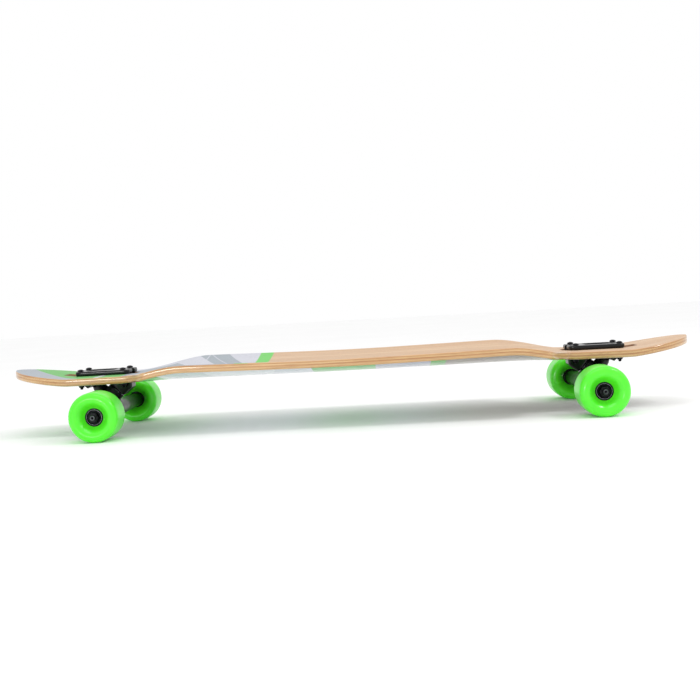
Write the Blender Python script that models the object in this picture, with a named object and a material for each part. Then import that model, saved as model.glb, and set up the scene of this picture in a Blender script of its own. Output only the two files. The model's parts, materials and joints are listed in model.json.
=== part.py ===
"""Drop-through longboard with two kingpin trucks and four urethane wheels.

Metres, +Z up.  The origin is on the floor under the middle of the deck.  +X runs along the
deck to the front truck, +Y to the left of a rider facing forward.
"""
import math

import bmesh
import bpy
from mathutils import Matrix, Vector

# ---- overall sizes -------------------------------------------------------------------
WHEELBASE = 0.702
TRACK = 0.230
TIP_OVERHANG = 0.1505   # deck beyond each axle
DECK_THICKNESS = 0.0108

# ---- clearances ----------------------------------------------------------------------
GAP = 0.0003            # between two pieces that sit against each other
RUNNING = 0.0003        # radial, between a bore and what passes through it

# ---- wheels and bearings -------------------------------------------------------------
WHEEL_DIAMETER = 0.070
WHEEL_WIDTH = 0.050
LIP_RADIUS = 0.009
DISH_DEPTH = 0.0115
DISH_INSIDE_LIP = 0.0015
DISH_CURVE = ((1.0, 0.07), (0.652, 0.40), (0.304, 0.739), (0.052, 0.974))  # shares of width, depth
DISH_EDGE = 0.0006      # rounding where the dish meets the core
BEARING_RADIUS = 0.011
BEARING_WIDTH = 0.007
BEARING_PITCH = 0.017   # centre to centre of the two bearings of a wheel
CORE_WALL = 0.0014      # core outside the bearing
CORE_RIB = 0.0028       # height of the core's grip rib
CORE_RIB_START = 0.005  # from the core's face to the foot of the rib
CORE_RIB_FULL = 0.007
CORE_SHOULDER = 0.0025  # height of the shoulder between the bearings
WASHER_SPACE = 0.0013   # room for a thin speed washer each side of the bearings

# ---- axle and its nuts ---------------------------------------------------------------
AXLE_RADIUS = 0.004
AXLE_PROUD = 0.0022     # thread beyond the nut
AXLE_NUT_HEIGHT = 0.0055
AXLE_NUT_FLATS = 0.013
AXLE_SOFT = 0.0006

# ---- deck outline and shape ----------------------------------------------------------
BODY_HALF_WIDTH = 0.1225
NECK_HALF_WIDTH = 0.067
LOBE_HALF_WIDTH = 0.071
BODY_END = WHEELBASE / 2 - 0.071    # where the full width starts to draw in
NECK_START = WHEELBASE / 2 - 0.0315
LOBE_START = WHEELBASE / 2 + 0.049
TIP_POWER = 2.2
TIP_LAST = 88.5         # last section before the tip, degrees round its curve
EDGE_ROUND = 0.0032
DECK_TOP_OVER_AXLE = 0.0508
BODY_SAG = 0.0009       # middle of the deck below the truck seats
CONCAVE_MIDDLE = 0.0132
CONCAVE_SHOULDER = 0.0156
CONCAVE_END = WHEELBASE / 2 - 0.123 # where the concave starts to fade out
FLAT_START = WHEELBASE / 2 - 0.019
CONCAVE_POWER = 2.2
NOSE_START = WHEELBASE / 2 + 0.0565
NOSE_RISE = 0.0133
NOSE_POWER = 1.2

# ---- drop-through opening, measured outward from the axle ------------------------------
SLOT_INNER = -0.033
SLOT_OUTER = 0.077
SLOT_HALF_WIDTH = 0.0145
SLOT_WAIST_INNER = -0.002
SLOT_WAIST_OUTER = 0.036
SLOT_WAIST_HALF_WIDTH = 0.0255
SLOT_CORNER = 0.006

# ---- mounting bolts --------------------------------------------------------------------
BOLT_SPACING_X = 0.0635
BOLT_SPACING_Y = 0.0413
BOLT_CENTRE = 0.0165    # middle of the bolt pattern, outward from the axle
BOLT_RADIUS = 0.0024
BOLT_HEAD_RADIUS = 0.0046
BOLT_HEAD_HEIGHT = 0.0028
BOLT_HEAD_RIM = 0.0012  # dome of the head, below its top at the rim
BOLT_HEAD_CROWN = 0.0003
BOLT_CROWN_SHARE = 0.8
BOLT_PROUD = 0.0028
MOUNT_NUT_FLATS = 0.0088
MOUNT_NUT_HEIGHT = 0.006

# ---- truck -----------------------------------------------------------------------------
STEER_ANGLE = math.radians(50.0)    # steering axis above the deck plane
STEER_OFFSET = 0.001                # steering axis below the axle centre
KINGPIN_AT = 0.0205                 # kingpin, along the steering axis from the axle
KINGPIN_RADIUS = 0.00475
KINGPIN_HEAD_FLATS = 0.0142
KINGPIN_HEAD_HEIGHT = 0.006
KINGPIN_PROUD = 0.004
KINGPIN_NUT_FLATS = 0.0143
KINGPIN_NUT_HEIGHT = 0.0076
RING_RADIUS = 0.017
RING_HALF = 0.006
SEAT_DEPTH = 0.002
SEAT_ROOM = 0.0006                  # radial, round a bushing in its seat
SEAT_REACH = 0.03
RING_BORE = 0.008
BUSHING_RADIUS = 0.0132
BUSHING_NOSE_RADIUS = 0.0105
BUSHING_SOFT = 0.0008
BUSHING_CONE_START = 0.003
BOARDSIDE_BUSHING = 0.014
ROADSIDE_BUSHING = 0.012
WASHER_RADIUS = 0.013
WASHER_THICKNESS = 0.0015
BEAM_RADIUS = 0.012
BEAM_END_RADIUS = 0.0108
BEAM_SOFT = 0.001
BEAM_TAPER = (0.82, 0.44)           # shares of the beam's half length, thin end to thick middle
WING_OUTLINE = ((-0.004, 0.050), (0.006, 0.045), (0.013, 0.026),
                (0.0225, 0.0175), (0.031, 0.0125), (0.037, 0.0095))
WING_ROUND = 0.003
WING_HALF_THICKNESS = 0.005
ARM_START = 0.033
ARM_ROOT_RADIUS = 0.0108
ARM_END_RADIUS = 0.0088
ARM_SHOULDER = 0.0055               # arm's end short of the cup's mouth
ARM_COLLAR = ((0.0015, 0.0004), (0.0005, 0.0))  # short of the mouth, larger than the nose
NOSE_PIN_RADIUS = 0.0065
NOSE_ROOM = 0.0016                  # tip of the nose short of the housing's floor
CUP_FACE = 0.0505                   # mouth of the pivot housing, along the steering axis
CUP_DEPTH = 0.0105
CUP_WALL = 0.0027
CUP_FLOOR = 0.0012
CUP_FILLET = 0.0015

# ---- baseplate ---------------------------------------------------------------------------
PLATE_INNER = -0.026
PLATE_OUTER = 0.0555
PLATE_HALF_WIDTH = 0.029
PLATE_THICKNESS = 0.0066
PLATE_CORNER = 0.009
PLATE_CHAMFER = 0.0012
PLATE_RECESS = 0.0018
RECESS_OUTER = 0.040
RECESS_HALF_WIDTH = 0.0165
RECESS_CORNER = 0.006
ROOT_SHARE = 0.4                    # leg and housing start this far up the plate's thickness
CAST_ROUND = 0.0022
CAST_CHAMFER = 0.0015
LEG_HALF_WIDTH = 0.013
LEG_SIDE = 0.0137                   # kingpin axis to the sloping faces of the leg
LEG_INNER = -0.0252
LEG_FLARE = 0.002
KINGPIN_SEAT = 0.044                # head seat above the ring, along the kingpin
HEAD_POCKET_RADIUS = 0.0092
HOUSING_HALF_WIDTH = 0.012
HOUSING_SIDE = 0.012
HOUSING_DRAFT = 0.001
HOUSING_BACK = (0.007, 0.009)       # outer face, outward and up from the mouth's outer edge
HOUSING_ROOT = 0.009

CUT_PAST = 0.01                     # how far a cutter runs past the face it cuts
ROUND = 28
MID_ROUND = 22
SMALL_ROUND = 18
HOLE_ROUND = 12

DECK_LENGTH = WHEELBASE + 2 * TIP_OVERHANG
AXLE_Z = WHEEL_DIAMETER / 2
DECK_TOP = AXLE_Z + DECK_TOP_OVER_AXLE
DECK_UNDER = DECK_TOP - DECK_THICKNESS
PLATE_BOTTOM = DECK_TOP_OVER_AXLE + GAP
PLATE_TOP = PLATE_BOTTOM + PLATE_THICKNESS
BEARING_OUTER_FACE = TRACK / 2 + WHEEL_WIDTH / 2 - DISH_DEPTH
BEARING_INNER_FACE = BEARING_OUTER_FACE - BEARING_PITCH - BEARING_WIDTH
HANGER_END = BEARING_INNER_FACE - WASHER_SPACE
AXLE_NUT_FACE = BEARING_OUTER_FACE + WASHER_SPACE
AXLE_END = AXLE_NUT_FACE + AXLE_NUT_HEIGHT + AXLE_PROUD
CORE_RADIUS = BEARING_RADIUS + GAP + CORE_WALL
CORE_RIB_RADIUS = CORE_RADIUS + CORE_RIB
CORE_SHOULDER_RADIUS = BEARING_RADIUS - CORE_SHOULDER


def start():
    for thing in list(bpy.data.objects):
        bpy.data.objects.remove(thing, do_unlink=True)
    for name in ("longboard", "cutters"):
        bpy.context.scene.collection.children.link(bpy.data.collections.new(name))


def finish_material(name, colour, rough, metal):
    mat = bpy.data.materials.new(name)
    mat.use_nodes = True
    shader = mat.node_tree.nodes["Principled BSDF"]
    shader.inputs["Base Color"].default_value = (*colour, 1.0)
    shader.inputs["Roughness"].default_value = rough
    shader.inputs["Metallic"].default_value = metal
    mat.diffuse_color = (*colour, 1.0)
    return mat


def mesh_object(name, verts, faces, frame, mat=None, smooth=True):
    """A closed body in its own frame; without a material it is a cutter."""
    mesh = bpy.data.meshes.new(name)
    bm = bmesh.new()
    points = [bm.verts.new(v) for v in verts]
    for face in faces:
        bm.faces.new([points[i] for i in face])
    bmesh.ops.recalc_face_normals(bm, faces=bm.faces)
    bm.to_mesh(mesh)
    bm.free()
    for poly in mesh.polygons:
        poly.use_smooth = smooth
    if smooth:
        mesh.set_sharp_from_angle(angle=math.radians(38.0))
    obj = bpy.data.objects.new(name, mesh)
    obj.matrix_world = frame
    if mat is None:
        bpy.data.collections["cutters"].objects.link(obj)
        obj.hide_render = True
        obj.display_type = "WIRE"
    else:
        mesh.materials.append(mat)
        bpy.data.collections["longboard"].objects.link(obj)
    return obj


def lathe(name, profile, frame, mat=None, sides=ROUND, turn=0.0):
    """Turn a closed (radius, height) outline about the frame's Z; radius 0 closes on the axis."""
    verts, rings = [], []
    for radius, height in profile:
        if radius < 1e-7:
            rings.append([len(verts)])
            verts.append((0.0, 0.0, height))
        else:
            rings.append(list(range(len(verts), len(verts) + sides)))
            for k in range(sides):
                a = turn + 2 * math.pi * k / sides
                verts.append((radius * math.cos(a), radius * math.sin(a), height))
    faces = []
    for ring, other in zip(rings, rings[1:] + rings[:1]):
        if len(ring) == 1 and len(other) == 1:
            continue
        for k in range(sides):
            j = (k + 1) % sides
            if len(ring) == 1:
                faces.append((ring[0], other[k], other[j]))
            elif len(other) == 1:
                faces.append((ring[k], ring[j], other[0]))
            else:
                faces.append((ring[k], ring[j], other[j], other[k]))
    return mesh_object(name, verts, faces, frame, mat)


def rod(name, radius, low, high, frame, mat=None, sides=ROUND):
    return lathe(name, [(0, low), (radius, low), (radius, high), (0, high)], frame, mat, sides)


def tube(name, inner, outer, low, high, frame, mat=None, sides=ROUND):
    outline = [(inner, low), (outer, low), (outer, high), (inner, high)]
    return lathe(name, outline, frame, mat, sides)


def hex_ring(name, flats, bore, low, high, frame, mat):
    """A hexagon nut with a round bore."""
    verts, rings = [], []
    for height, edge in ((low, False), (low, True), (high, True), (high, False)):
        ring = []
        for k in range(12):
            a = 2 * math.pi * k / 12
            reach = bore
            if edge:
                fold = (a % (math.pi / 3)) - math.pi / 6
                reach = flats / 2 / math.cos(fold)
            ring.append(len(verts))
            verts.append((reach * math.cos(a), reach * math.sin(a), height))
        rings.append(ring)
    faces = []
    for ring, other in zip(rings, rings[1:] + rings[:1]):
        for k in range(12):
            j = (k + 1) % 12
            faces.append((ring[k], ring[j], other[j], other[k]))
    return mesh_object(name, verts, faces, frame, mat, smooth=False)


def rounded(points, reach, steps=4):
    """Replace every corner of a flat outline with a short curve that starts `reach` away."""
    out = []
    count = len(points)
    for i, p in enumerate(points):
        p = Vector(p)
        before = Vector(points[i - 1]) - p
        after = Vector(points[(i + 1) % count]) - p
        a = p + before.normalized() * min(reach, before.length * 0.45)
        b = p + after.normalized() * min(reach, after.length * 0.45)
        for k in range(steps + 1):
            q = k / steps
            out.append(a * (1 - q) ** 2 + p * (2 * q * (1 - q)) + b * q ** 2)
    return out


def slab(name, outline, low, high, frame, mat=None, chamfer=0.0):
    """Extrude a flat outline along the frame's Z, with an optional chamfer top and bottom."""
    outline = [Vector(p) for p in outline]
    count = len(outline)
    area = sum(outline[i].x * outline[(i + 1) % count].y - outline[(i + 1) % count].x * outline[i].y
               for i in range(count))
    if area < 0:
        outline.reverse()
    inset = []
    for i, p in enumerate(outline):
        along = (outline[(i + 1) % count] - outline[i - 1]).normalized()
        inset.append(p + Vector((-along.y, along.x)) * chamfer)
    layers = [(outline, low), (outline, high)]
    if chamfer:
        layers = [(inset, low), (outline, low + chamfer), (outline, high - chamfer), (inset, high)]
    verts, faces = [], []
    for points, height in layers:
        verts += [(p.x, p.y, height) for p in points]
    for layer in range(len(layers) - 1):
        for k in range(count):
            j = (k + 1) % count
            base = layer * count
            faces.append((base + k, base + j, base + count + j, base + count + k))
    faces.append(tuple(range(count)))
    faces.append(tuple(range((len(layers) - 1) * count, len(layers) * count)))
    return mesh_object(name, verts, faces, frame, mat, smooth=False)


def combine(target, tool, operation):
    mod = target.modifiers.new(tool.name, "BOOLEAN")
    mod.operation = operation
    mod.solver = "EXACT"
    mod.object = tool


def ease(low, high, x):
    t = min(max((x - low) / (high - low), 0.0), 1.0)
    return t * t * (3 - 2 * t)


# ---- deck --------------------------------------------------------------------------------
def half_width(x):
    x = abs(x)
    width = BODY_HALF_WIDTH + (NECK_HALF_WIDTH - BODY_HALF_WIDTH) * ease(BODY_END, NECK_START, x)
    width += (LOBE_HALF_WIDTH - NECK_HALF_WIDTH) * ease(NECK_START, LOBE_START, x)
    if x > LOBE_START:
        t = min((x - LOBE_START) / (DECK_LENGTH / 2 - LOBE_START), 1.0)
        width = LOBE_HALF_WIDTH * math.sqrt(1 - t ** TIP_POWER)
    return width


def deck_top(x, share):
    """Height of the top face at a share (-1 to 1) of the half-width."""
    x = abs(x)
    height = DECK_TOP - BODY_SAG * (1 - ease(0.0, FLAT_START, x))
    if x > NOSE_START:
        height += NOSE_RISE * ((x - NOSE_START) / (DECK_LENGTH / 2 - NOSE_START)) ** NOSE_POWER
    concave = CONCAVE_MIDDLE + (CONCAVE_SHOULDER - CONCAVE_MIDDLE) * ease(0.0, BODY_END, x)
    concave *= 1 - ease(CONCAVE_END, FLAT_START, x)
    return height + concave * abs(share) ** CONCAVE_POWER


def deck(mat):
    half = DECK_LENGTH / 2
    stations = [BODY_END * k / 10 for k in range(10)]
    stations += [BODY_END + (NECK_START - BODY_END) * k / 9 for k in range(9)]
    stations += [NECK_START + (LOBE_START - NECK_START) * k / 3 for k in range(3)]
    stations += [LOBE_START + (half - LOBE_START) * math.sin(math.radians(TIP_LAST) * k / 9)
                 for k in range(10)]
    stations = [-x for x in reversed(stations[1:])] + stations
    shares = [-1, -0.76, -0.42, 0, 0.42, 0.76, 1]
    curl = math.cos(math.radians(45.0))
    verts, faces = [], []
    for x in stations:
        width = half_width(x)
        edge = min(EDGE_ROUND, width * 0.4)
        flat = width - edge
        top = [(flat * s, deck_top(x, flat * s / width)) for s in shares]
        rail = deck_top(x, 1.0)
        under = rail - DECK_THICKNESS
        right = [(flat + edge * curl, rail - edge * (1 - curl)), (width, rail - edge),
                 (width, under + edge), (flat + edge * curl, under + edge * (1 - curl))]
        left = [(-y, z) for y, z in reversed(right)]
        below = [(y, z - DECK_THICKNESS) for y, z in reversed(top)]
        verts += [(x, y, z) for y, z in top + right + below + left]
    count = len(verts) // len(stations)
    for i in range(len(stations) - 1):
        for k in range(count):
            j = (k + 1) % count
            faces.append((i * count + k, i * count + j, (i + 1) * count + j, (i + 1) * count + k))
    faces.append(tuple(range(count)))
    faces.append(tuple(range(len(verts) - count, len(verts))))
    board = mesh_object("deck", verts, faces, Matrix(), mat)
    slot = [(SLOT_INNER, -SLOT_HALF_WIDTH), (SLOT_WAIST_INNER, -SLOT_HALF_WIDTH),
            (SLOT_WAIST_INNER, -SLOT_WAIST_HALF_WIDTH), (SLOT_WAIST_OUTER, -SLOT_WAIST_HALF_WIDTH),
            (SLOT_WAIST_OUTER, -SLOT_HALF_WIDTH), (SLOT_OUTER, -SLOT_HALF_WIDTH)]
    slot += [(x, -y) for x, y in reversed(slot)]
    for end in ("front", "rear"):
        frame = truck_frame(end)
        low, high = DECK_UNDER - AXLE_Z - CUT_PAST, DECK_TOP_OVER_AXLE + CUT_PAST
        combine(board, slab("slot_" + end, rounded(slot, SLOT_CORNER), low, high, frame),
                "DIFFERENCE")
        for i, spot in enumerate(bolt_frames(end)):
            combine(board, rod(f"deck_hole_{end}_{i}", BOLT_RADIUS + RUNNING, low, high, spot,
                               sides=HOLE_ROUND), "DIFFERENCE")


# ---- frames ------------------------------------------------------------------------------
def truck_frame(end):
    """Axle centre, X outward to the end of the board."""
    sign = 1 if end == "front" else -1
    turn = Matrix.Rotation(0.0 if sign > 0 else math.pi, 4, "Z")
    return Matrix.Translation((sign * WHEELBASE / 2, 0, AXLE_Z)) @ turn


def steer_frame(end):
    """On the steering axis, Z along it outward and up, X down along the kingpin."""
    tilt = Matrix.Rotation(math.pi / 2 - STEER_ANGLE, 4, "Y")
    return truck_frame(end) @ tilt @ Matrix.Translation((STEER_OFFSET, 0, 0))


def kingpin_frame(end):
    """On the kingpin at the middle of the hanger ring, Z up toward the board."""
    turn = Matrix.Rotation(-math.pi / 2, 4, "Y")
    return steer_frame(end) @ Matrix.Translation((0, 0, KINGPIN_AT)) @ turn


def across_frame(end):
    """Axle centre, Z across the board, so that slabs drawn in (X, Y) lie in the side view."""
    return truck_frame(end) @ Matrix.Rotation(math.pi / 2, 4, "X")


def wheel_frame(end, side):
    sign = 1 if end == "front" else -1
    across = 1 if side == "left" else -1
    turn = Matrix.Rotation(-across * math.pi / 2, 4, "X")
    return Matrix.Translation((sign * WHEELBASE / 2, across * TRACK / 2, AXLE_Z)) @ turn


def bolt_frames(end):
    for dx in (-0.5, 0.5):
        for dy in (-0.5, 0.5):
            yield truck_frame(end) @ Matrix.Translation(
                (BOLT_CENTRE + dx * BOLT_SPACING_X, dy * BOLT_SPACING_Y, 0))


def side_view(along, above):
    """Side-view point from distances along the steering axis and above the ring."""
    c, s = math.cos(STEER_ANGLE), math.sin(STEER_ANGLE)
    n = above - STEER_OFFSET
    return (along * c - n * s, along * s + n * c)


# ---- truck pieces ------------------------------------------------------------------------
BOARD_BUSHING_LOW = RING_HALF - SEAT_DEPTH + GAP
BOARD_BUSHING_HIGH = BOARD_BUSHING_LOW + BOARDSIDE_BUSHING
BOARD_WASHER_LOW = BOARD_BUSHING_HIGH + GAP
LEG_END = BOARD_WASHER_LOW + WASHER_THICKNESS + GAP
ROAD_BUSHING_LOW = -BOARD_BUSHING_LOW - ROADSIDE_BUSHING
ROAD_WASHER_LOW = ROAD_BUSHING_LOW - GAP - WASHER_THICKNESS
KINGPIN_NUT_LOW = ROAD_WASHER_LOW - GAP - KINGPIN_NUT_HEIGHT


def baseplate(end, mat):
    plate = [(PLATE_INNER, -PLATE_HALF_WIDTH), (PLATE_OUTER, -PLATE_HALF_WIDTH),
             (PLATE_OUTER, PLATE_HALF_WIDTH), (PLATE_INNER, PLATE_HALF_WIDTH)]
    base = slab("baseplate_" + end, rounded(plate, PLATE_CORNER), PLATE_BOTTOM, PLATE_TOP,
                truck_frame(end), mat, PLATE_CHAMFER)
    root = PLATE_BOTTOM + PLATE_THICKNESS * ROOT_SHARE
    low, high = KINGPIN_AT - LEG_SIDE, KINGPIN_AT + LEG_SIDE
    foot = side_view(low, LEG_END)
    heel = side_view(high, LEG_END)
    rise = (low - LEG_INNER * math.cos(STEER_ANGLE)) / math.sin(STEER_ANGLE)
    leg = [(LEG_INNER, root), (LEG_INNER, rise), foot, heel,
           (heel[0] + LEG_FLARE, root)]
    combine(base, slab("leg_" + end, rounded(leg, CAST_ROUND, 2), -LEG_HALF_WIDTH,
                       LEG_HALF_WIDTH, across_frame(end), chamfer=CAST_CHAMFER), "UNION")
    inner = side_view(CUP_FACE, HOUSING_SIDE)
    outer = side_view(CUP_FACE, -HOUSING_SIDE)
    housing = [(inner[0] - HOUSING_DRAFT, root), inner, outer,
               (outer[0] + HOUSING_BACK[0], outer[1] + HOUSING_BACK[1]),
               (outer[0] + HOUSING_ROOT, root)]
    combine(base, slab("housing_" + end, rounded(housing, CAST_ROUND, 2), -HOUSING_HALF_WIDTH,
                       HOUSING_HALF_WIDTH, across_frame(end), chamfer=CAST_CHAMFER), "UNION")
    combine(base, rod("cup_bore_" + end, NOSE_PIN_RADIUS + RUNNING + CUP_WALL + GAP,
                      CUP_FACE - CUT_PAST, CUP_FACE + CUP_DEPTH + GAP, steer_frame(end), sides=24),
            "DIFFERENCE")
    reach = KINGPIN_SEAT + SEAT_REACH
    hole, pocket = KINGPIN_RADIUS + RUNNING, HEAD_POCKET_RADIUS
    stepped = [(0, LEG_END - CUT_PAST), (hole, LEG_END - CUT_PAST), (hole, KINGPIN_SEAT),
               (pocket, KINGPIN_SEAT), (pocket, reach), (0, reach)]
    combine(base, lathe("kingpin_hole_" + end, stepped, kingpin_frame(end), sides=20),
            "DIFFERENCE")
    wide = RECESS_HALF_WIDTH
    recess = [(0, -wide), (RECESS_OUTER, -wide), (RECESS_OUTER, wide), (0, wide)]
    combine(base, slab("recess_" + end, rounded(recess, RECESS_CORNER), PLATE_TOP - PLATE_RECESS,
                       PLATE_TOP + CUT_PAST, truck_frame(end)), "DIFFERENCE")
    for i, spot in enumerate(bolt_frames(end)):
        combine(base, rod(f"plate_hole_{end}_{i}", BOLT_RADIUS + RUNNING,
                          PLATE_BOTTOM - CUT_PAST, PLATE_TOP + CUT_PAST, spot,
                          sides=HOLE_ROUND), "DIFFERENCE")


def pivot_cup(end, mat):
    bore = NOSE_PIN_RADIUS + RUNNING
    outer = bore + CUP_WALL
    low, high = CUP_FACE + GAP, CUP_FACE + CUP_DEPTH
    floor = high - CUP_FLOOR
    outline = [(0, floor), (bore - CUP_FILLET, floor), (bore, floor - CUP_FILLET), (bore, low),
               (outer, low), (outer, high), (0, high)]
    lathe("pivot_cup_" + end, outline, steer_frame(end), mat, MID_ROUND)


def kingpin(end, mat):
    frame = kingpin_frame(end)
    low = KINGPIN_NUT_LOW - KINGPIN_PROUD
    seat = KINGPIN_SEAT + GAP
    pin = rod("kingpin_" + end, KINGPIN_RADIUS, low, seat + KINGPIN_HEAD_HEIGHT / 2, frame, mat,
              SMALL_ROUND)
    head = rod("kingpin_head_" + end, KINGPIN_HEAD_FLATS / math.sqrt(3), seat,
               seat + KINGPIN_HEAD_HEIGHT, frame, sides=6)
    combine(pin, head, "UNION")


def bushings(end, mat, washer):
    frame = kingpin_frame(end)
    bore = KINGPIN_RADIUS + RUNNING
    low, high = BOARD_BUSHING_LOW, BOARD_BUSHING_HIGH
    soft = BUSHING_SOFT
    lathe("bushing_boardside_" + end,
          [(bore, low), (BUSHING_RADIUS - soft, low), (BUSHING_RADIUS, low + soft),
           (BUSHING_RADIUS, high - soft), (BUSHING_RADIUS - soft, high), (bore, high)],
          frame, mat, MID_ROUND)
    low, high = ROAD_BUSHING_LOW, -BOARD_BUSHING_LOW
    lathe("bushing_roadside_" + end,
          [(bore, low), (BUSHING_NOSE_RADIUS, low), (BUSHING_RADIUS - soft / 2, high - BUSHING_CONE_START),
           (BUSHING_RADIUS - soft, high), (bore, high)], frame, mat, MID_ROUND)
    tube("washer_boardside_" + end, bore, WASHER_RADIUS, BOARD_WASHER_LOW,
         BOARD_WASHER_LOW + WASHER_THICKNESS, frame, washer, MID_ROUND)
    tube("washer_roadside_" + end, bore, WASHER_RADIUS, ROAD_WASHER_LOW,
         ROAD_WASHER_LOW + WASHER_THICKNESS, frame, washer, MID_ROUND)


def hanger(end, mat):
    steer, pin = steer_frame(end), kingpin_frame(end)
    axle = truck_frame(end) @ Matrix.Rotation(-math.pi / 2, 4, "X")
    wing = [(x, -y) for x, y in WING_OUTLINE] + list(reversed(WING_OUTLINE))
    across = steer @ Matrix.Rotation(-math.pi / 2, 4, "Y")
    body = slab("hanger_" + end, rounded(wing, WING_ROUND, 2), -WING_HALF_THICKNESS,
                WING_HALF_THICKNESS, across, mat)
    beam = [(0, -HANGER_END), (BEAM_END_RADIUS - BEAM_SOFT, -HANGER_END),
            (BEAM_END_RADIUS, -HANGER_END + BEAM_SOFT), (BEAM_END_RADIUS, -HANGER_END * BEAM_TAPER[0]),
            (BEAM_RADIUS, -HANGER_END * BEAM_TAPER[1])]
    beam += [(r, -h) for r, h in reversed(beam)]
    combine(body, lathe("beam_" + end, beam, axle), "UNION")
    combine(body, rod("ring_" + end, RING_RADIUS, -RING_HALF, RING_HALF, pin, sides=MID_ROUND),
            "UNION")
    tip = CUP_FACE + CUP_DEPTH - NOSE_ROOM
    ball = NOSE_PIN_RADIUS
    arm = [(0, ARM_START), (ARM_ROOT_RADIUS, ARM_START), (ARM_END_RADIUS, CUP_FACE - ARM_SHOULDER)]
    arm += [(ball + larger, CUP_FACE - short) for short, larger in ARM_COLLAR]
    arm += [(ball * math.cos(a), tip - ball * (1 - math.sin(a)))
            for a in (math.radians(22.5 * k) for k in range(1, 4))]
    arm.append((0, tip))
    combine(body, lathe("arm_" + end, arm, steer, sides=SMALL_ROUND), "UNION")
    seat, reach = BUSHING_RADIUS + SEAT_ROOM, SEAT_REACH
    combine(body, rod("board_seat_" + end, seat, RING_HALF - SEAT_DEPTH, reach, pin,
                      sides=MID_ROUND), "DIFFERENCE")
    combine(body, rod("road_seat_" + end, seat, -reach, -RING_HALF + SEAT_DEPTH, pin,
                      sides=MID_ROUND), "DIFFERENCE")
    combine(body, rod("ring_bore_" + end, RING_BORE, -reach, reach, pin, sides=SMALL_ROUND),
            "DIFFERENCE")
    combine(body, rod("axle_bore_" + end, AXLE_RADIUS + RUNNING, -HANGER_END - CUT_PAST,
                      HANGER_END + CUT_PAST, axle, sides=SMALL_ROUND), "DIFFERENCE")


def axle(end, mat):
    frame = truck_frame(end) @ Matrix.Rotation(-math.pi / 2, 4, "X")
    outline = [(0, -AXLE_END), (AXLE_RADIUS - AXLE_SOFT, -AXLE_END),
               (AXLE_RADIUS, -AXLE_END + AXLE_SOFT)]
    outline += [(r, -h) for r, h in reversed(outline)]
    lathe("axle_" + end, outline, frame, mat, SMALL_ROUND)


def mounting_bolts(end, mat):
    for i, frame in enumerate(bolt_frames(end), 1):
        under = DECK_UNDER - AXLE_Z - GAP
        low = under - MOUNT_NUT_HEIGHT - BOLT_PROUD
        seat = PLATE_TOP + GAP
        top = seat + BOLT_HEAD_HEIGHT
        outline = [(0, low), (BOLT_RADIUS, low), (BOLT_RADIUS, seat), (BOLT_HEAD_RADIUS, seat),
                   (BOLT_HEAD_RADIUS, top - BOLT_HEAD_RIM),
                   (BOLT_HEAD_RADIUS * BOLT_CROWN_SHARE, top - BOLT_HEAD_CROWN), (0, top)]
        lathe(f"mount_bolt_{end}_{i}", outline, frame, mat, HOLE_ROUND)
        hex_ring(f"mount_nut_{end}_{i}", MOUNT_NUT_FLATS, BOLT_RADIUS + RUNNING,
                 under - MOUNT_NUT_HEIGHT, under, frame, mat)


# ---- wheel pieces ------------------------------------------------------------------------
def wheel(end, side, tyre_mat, core_mat, bearing_mat, nut_mat):
    frame = wheel_frame(end, side)
    tag = f"{end}_{side}"
    outer = BEARING_OUTER_FACE - TRACK / 2
    inner = BEARING_INNER_FACE - TRACK / 2
    radius, half = WHEEL_DIAMETER / 2, WHEEL_WIDTH / 2
    seat = CORE_RADIUS + GAP
    lip = [math.radians(90.0 * k / 3) for k in range(4)]
    front = [(radius - LIP_RADIUS * (1 - math.cos(a)), half - LIP_RADIUS * (1 - math.sin(a)))
             for a in lip]
    mouth = radius - LIP_RADIUS - DISH_INSIDE_LIP - seat
    dish = [(seat + mouth * wide, half - (half - outer) * deep) for wide, deep in DISH_CURVE]
    dish.append((seat, outer - DISH_EDGE))
    back = [(seat + mouth * wide, -half + (half + inner) * deep) for wide, deep in DISH_CURVE]
    back.append((seat, inner + DISH_EDGE))
    rib = CORE_RIB_RADIUS + GAP
    foot, full = CORE_RIB_START, CORE_RIB_FULL
    well = [(seat, outer - foot), (rib, outer - full), (rib, inner + full), (seat, inner + foot)]
    outline = front + dish + well + back[::-1] + [(r, -h) for r, h in reversed(front)]
    lathe("wheel_" + tag, outline, frame, tyre_mat, ROUND)
    bore = BEARING_RADIUS + GAP
    deep = BEARING_WIDTH + GAP
    foot, full = foot + GAP, full + GAP
    core = [(bore, outer), (CORE_RADIUS, outer), (CORE_RADIUS, outer - foot),
            (CORE_RIB_RADIUS, outer - full), (CORE_RIB_RADIUS, inner + full),
            (CORE_RADIUS, inner + foot), (CORE_RADIUS, inner), (bore, inner),
            (bore, inner + deep), (CORE_SHOULDER_RADIUS, inner + deep),
            (CORE_SHOULDER_RADIUS, outer - deep), (bore, outer - deep)]
    lathe("core_" + tag, core, frame, core_mat, MID_ROUND)
    for name, low in (("outer", outer - BEARING_WIDTH), ("inner", inner)):
        a, b = AXLE_RADIUS + RUNNING, BEARING_RADIUS
        tube(f"bearing_{name}_{tag}", a, b, low, low + BEARING_WIDTH, frame, bearing_mat,
             MID_ROUND)
    face = AXLE_NUT_FACE - TRACK / 2
    hex_ring("axle_nut_" + tag, AXLE_NUT_FLATS, AXLE_RADIUS + RUNNING, face,
             face + AXLE_NUT_HEIGHT, frame, nut_mat)


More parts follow.
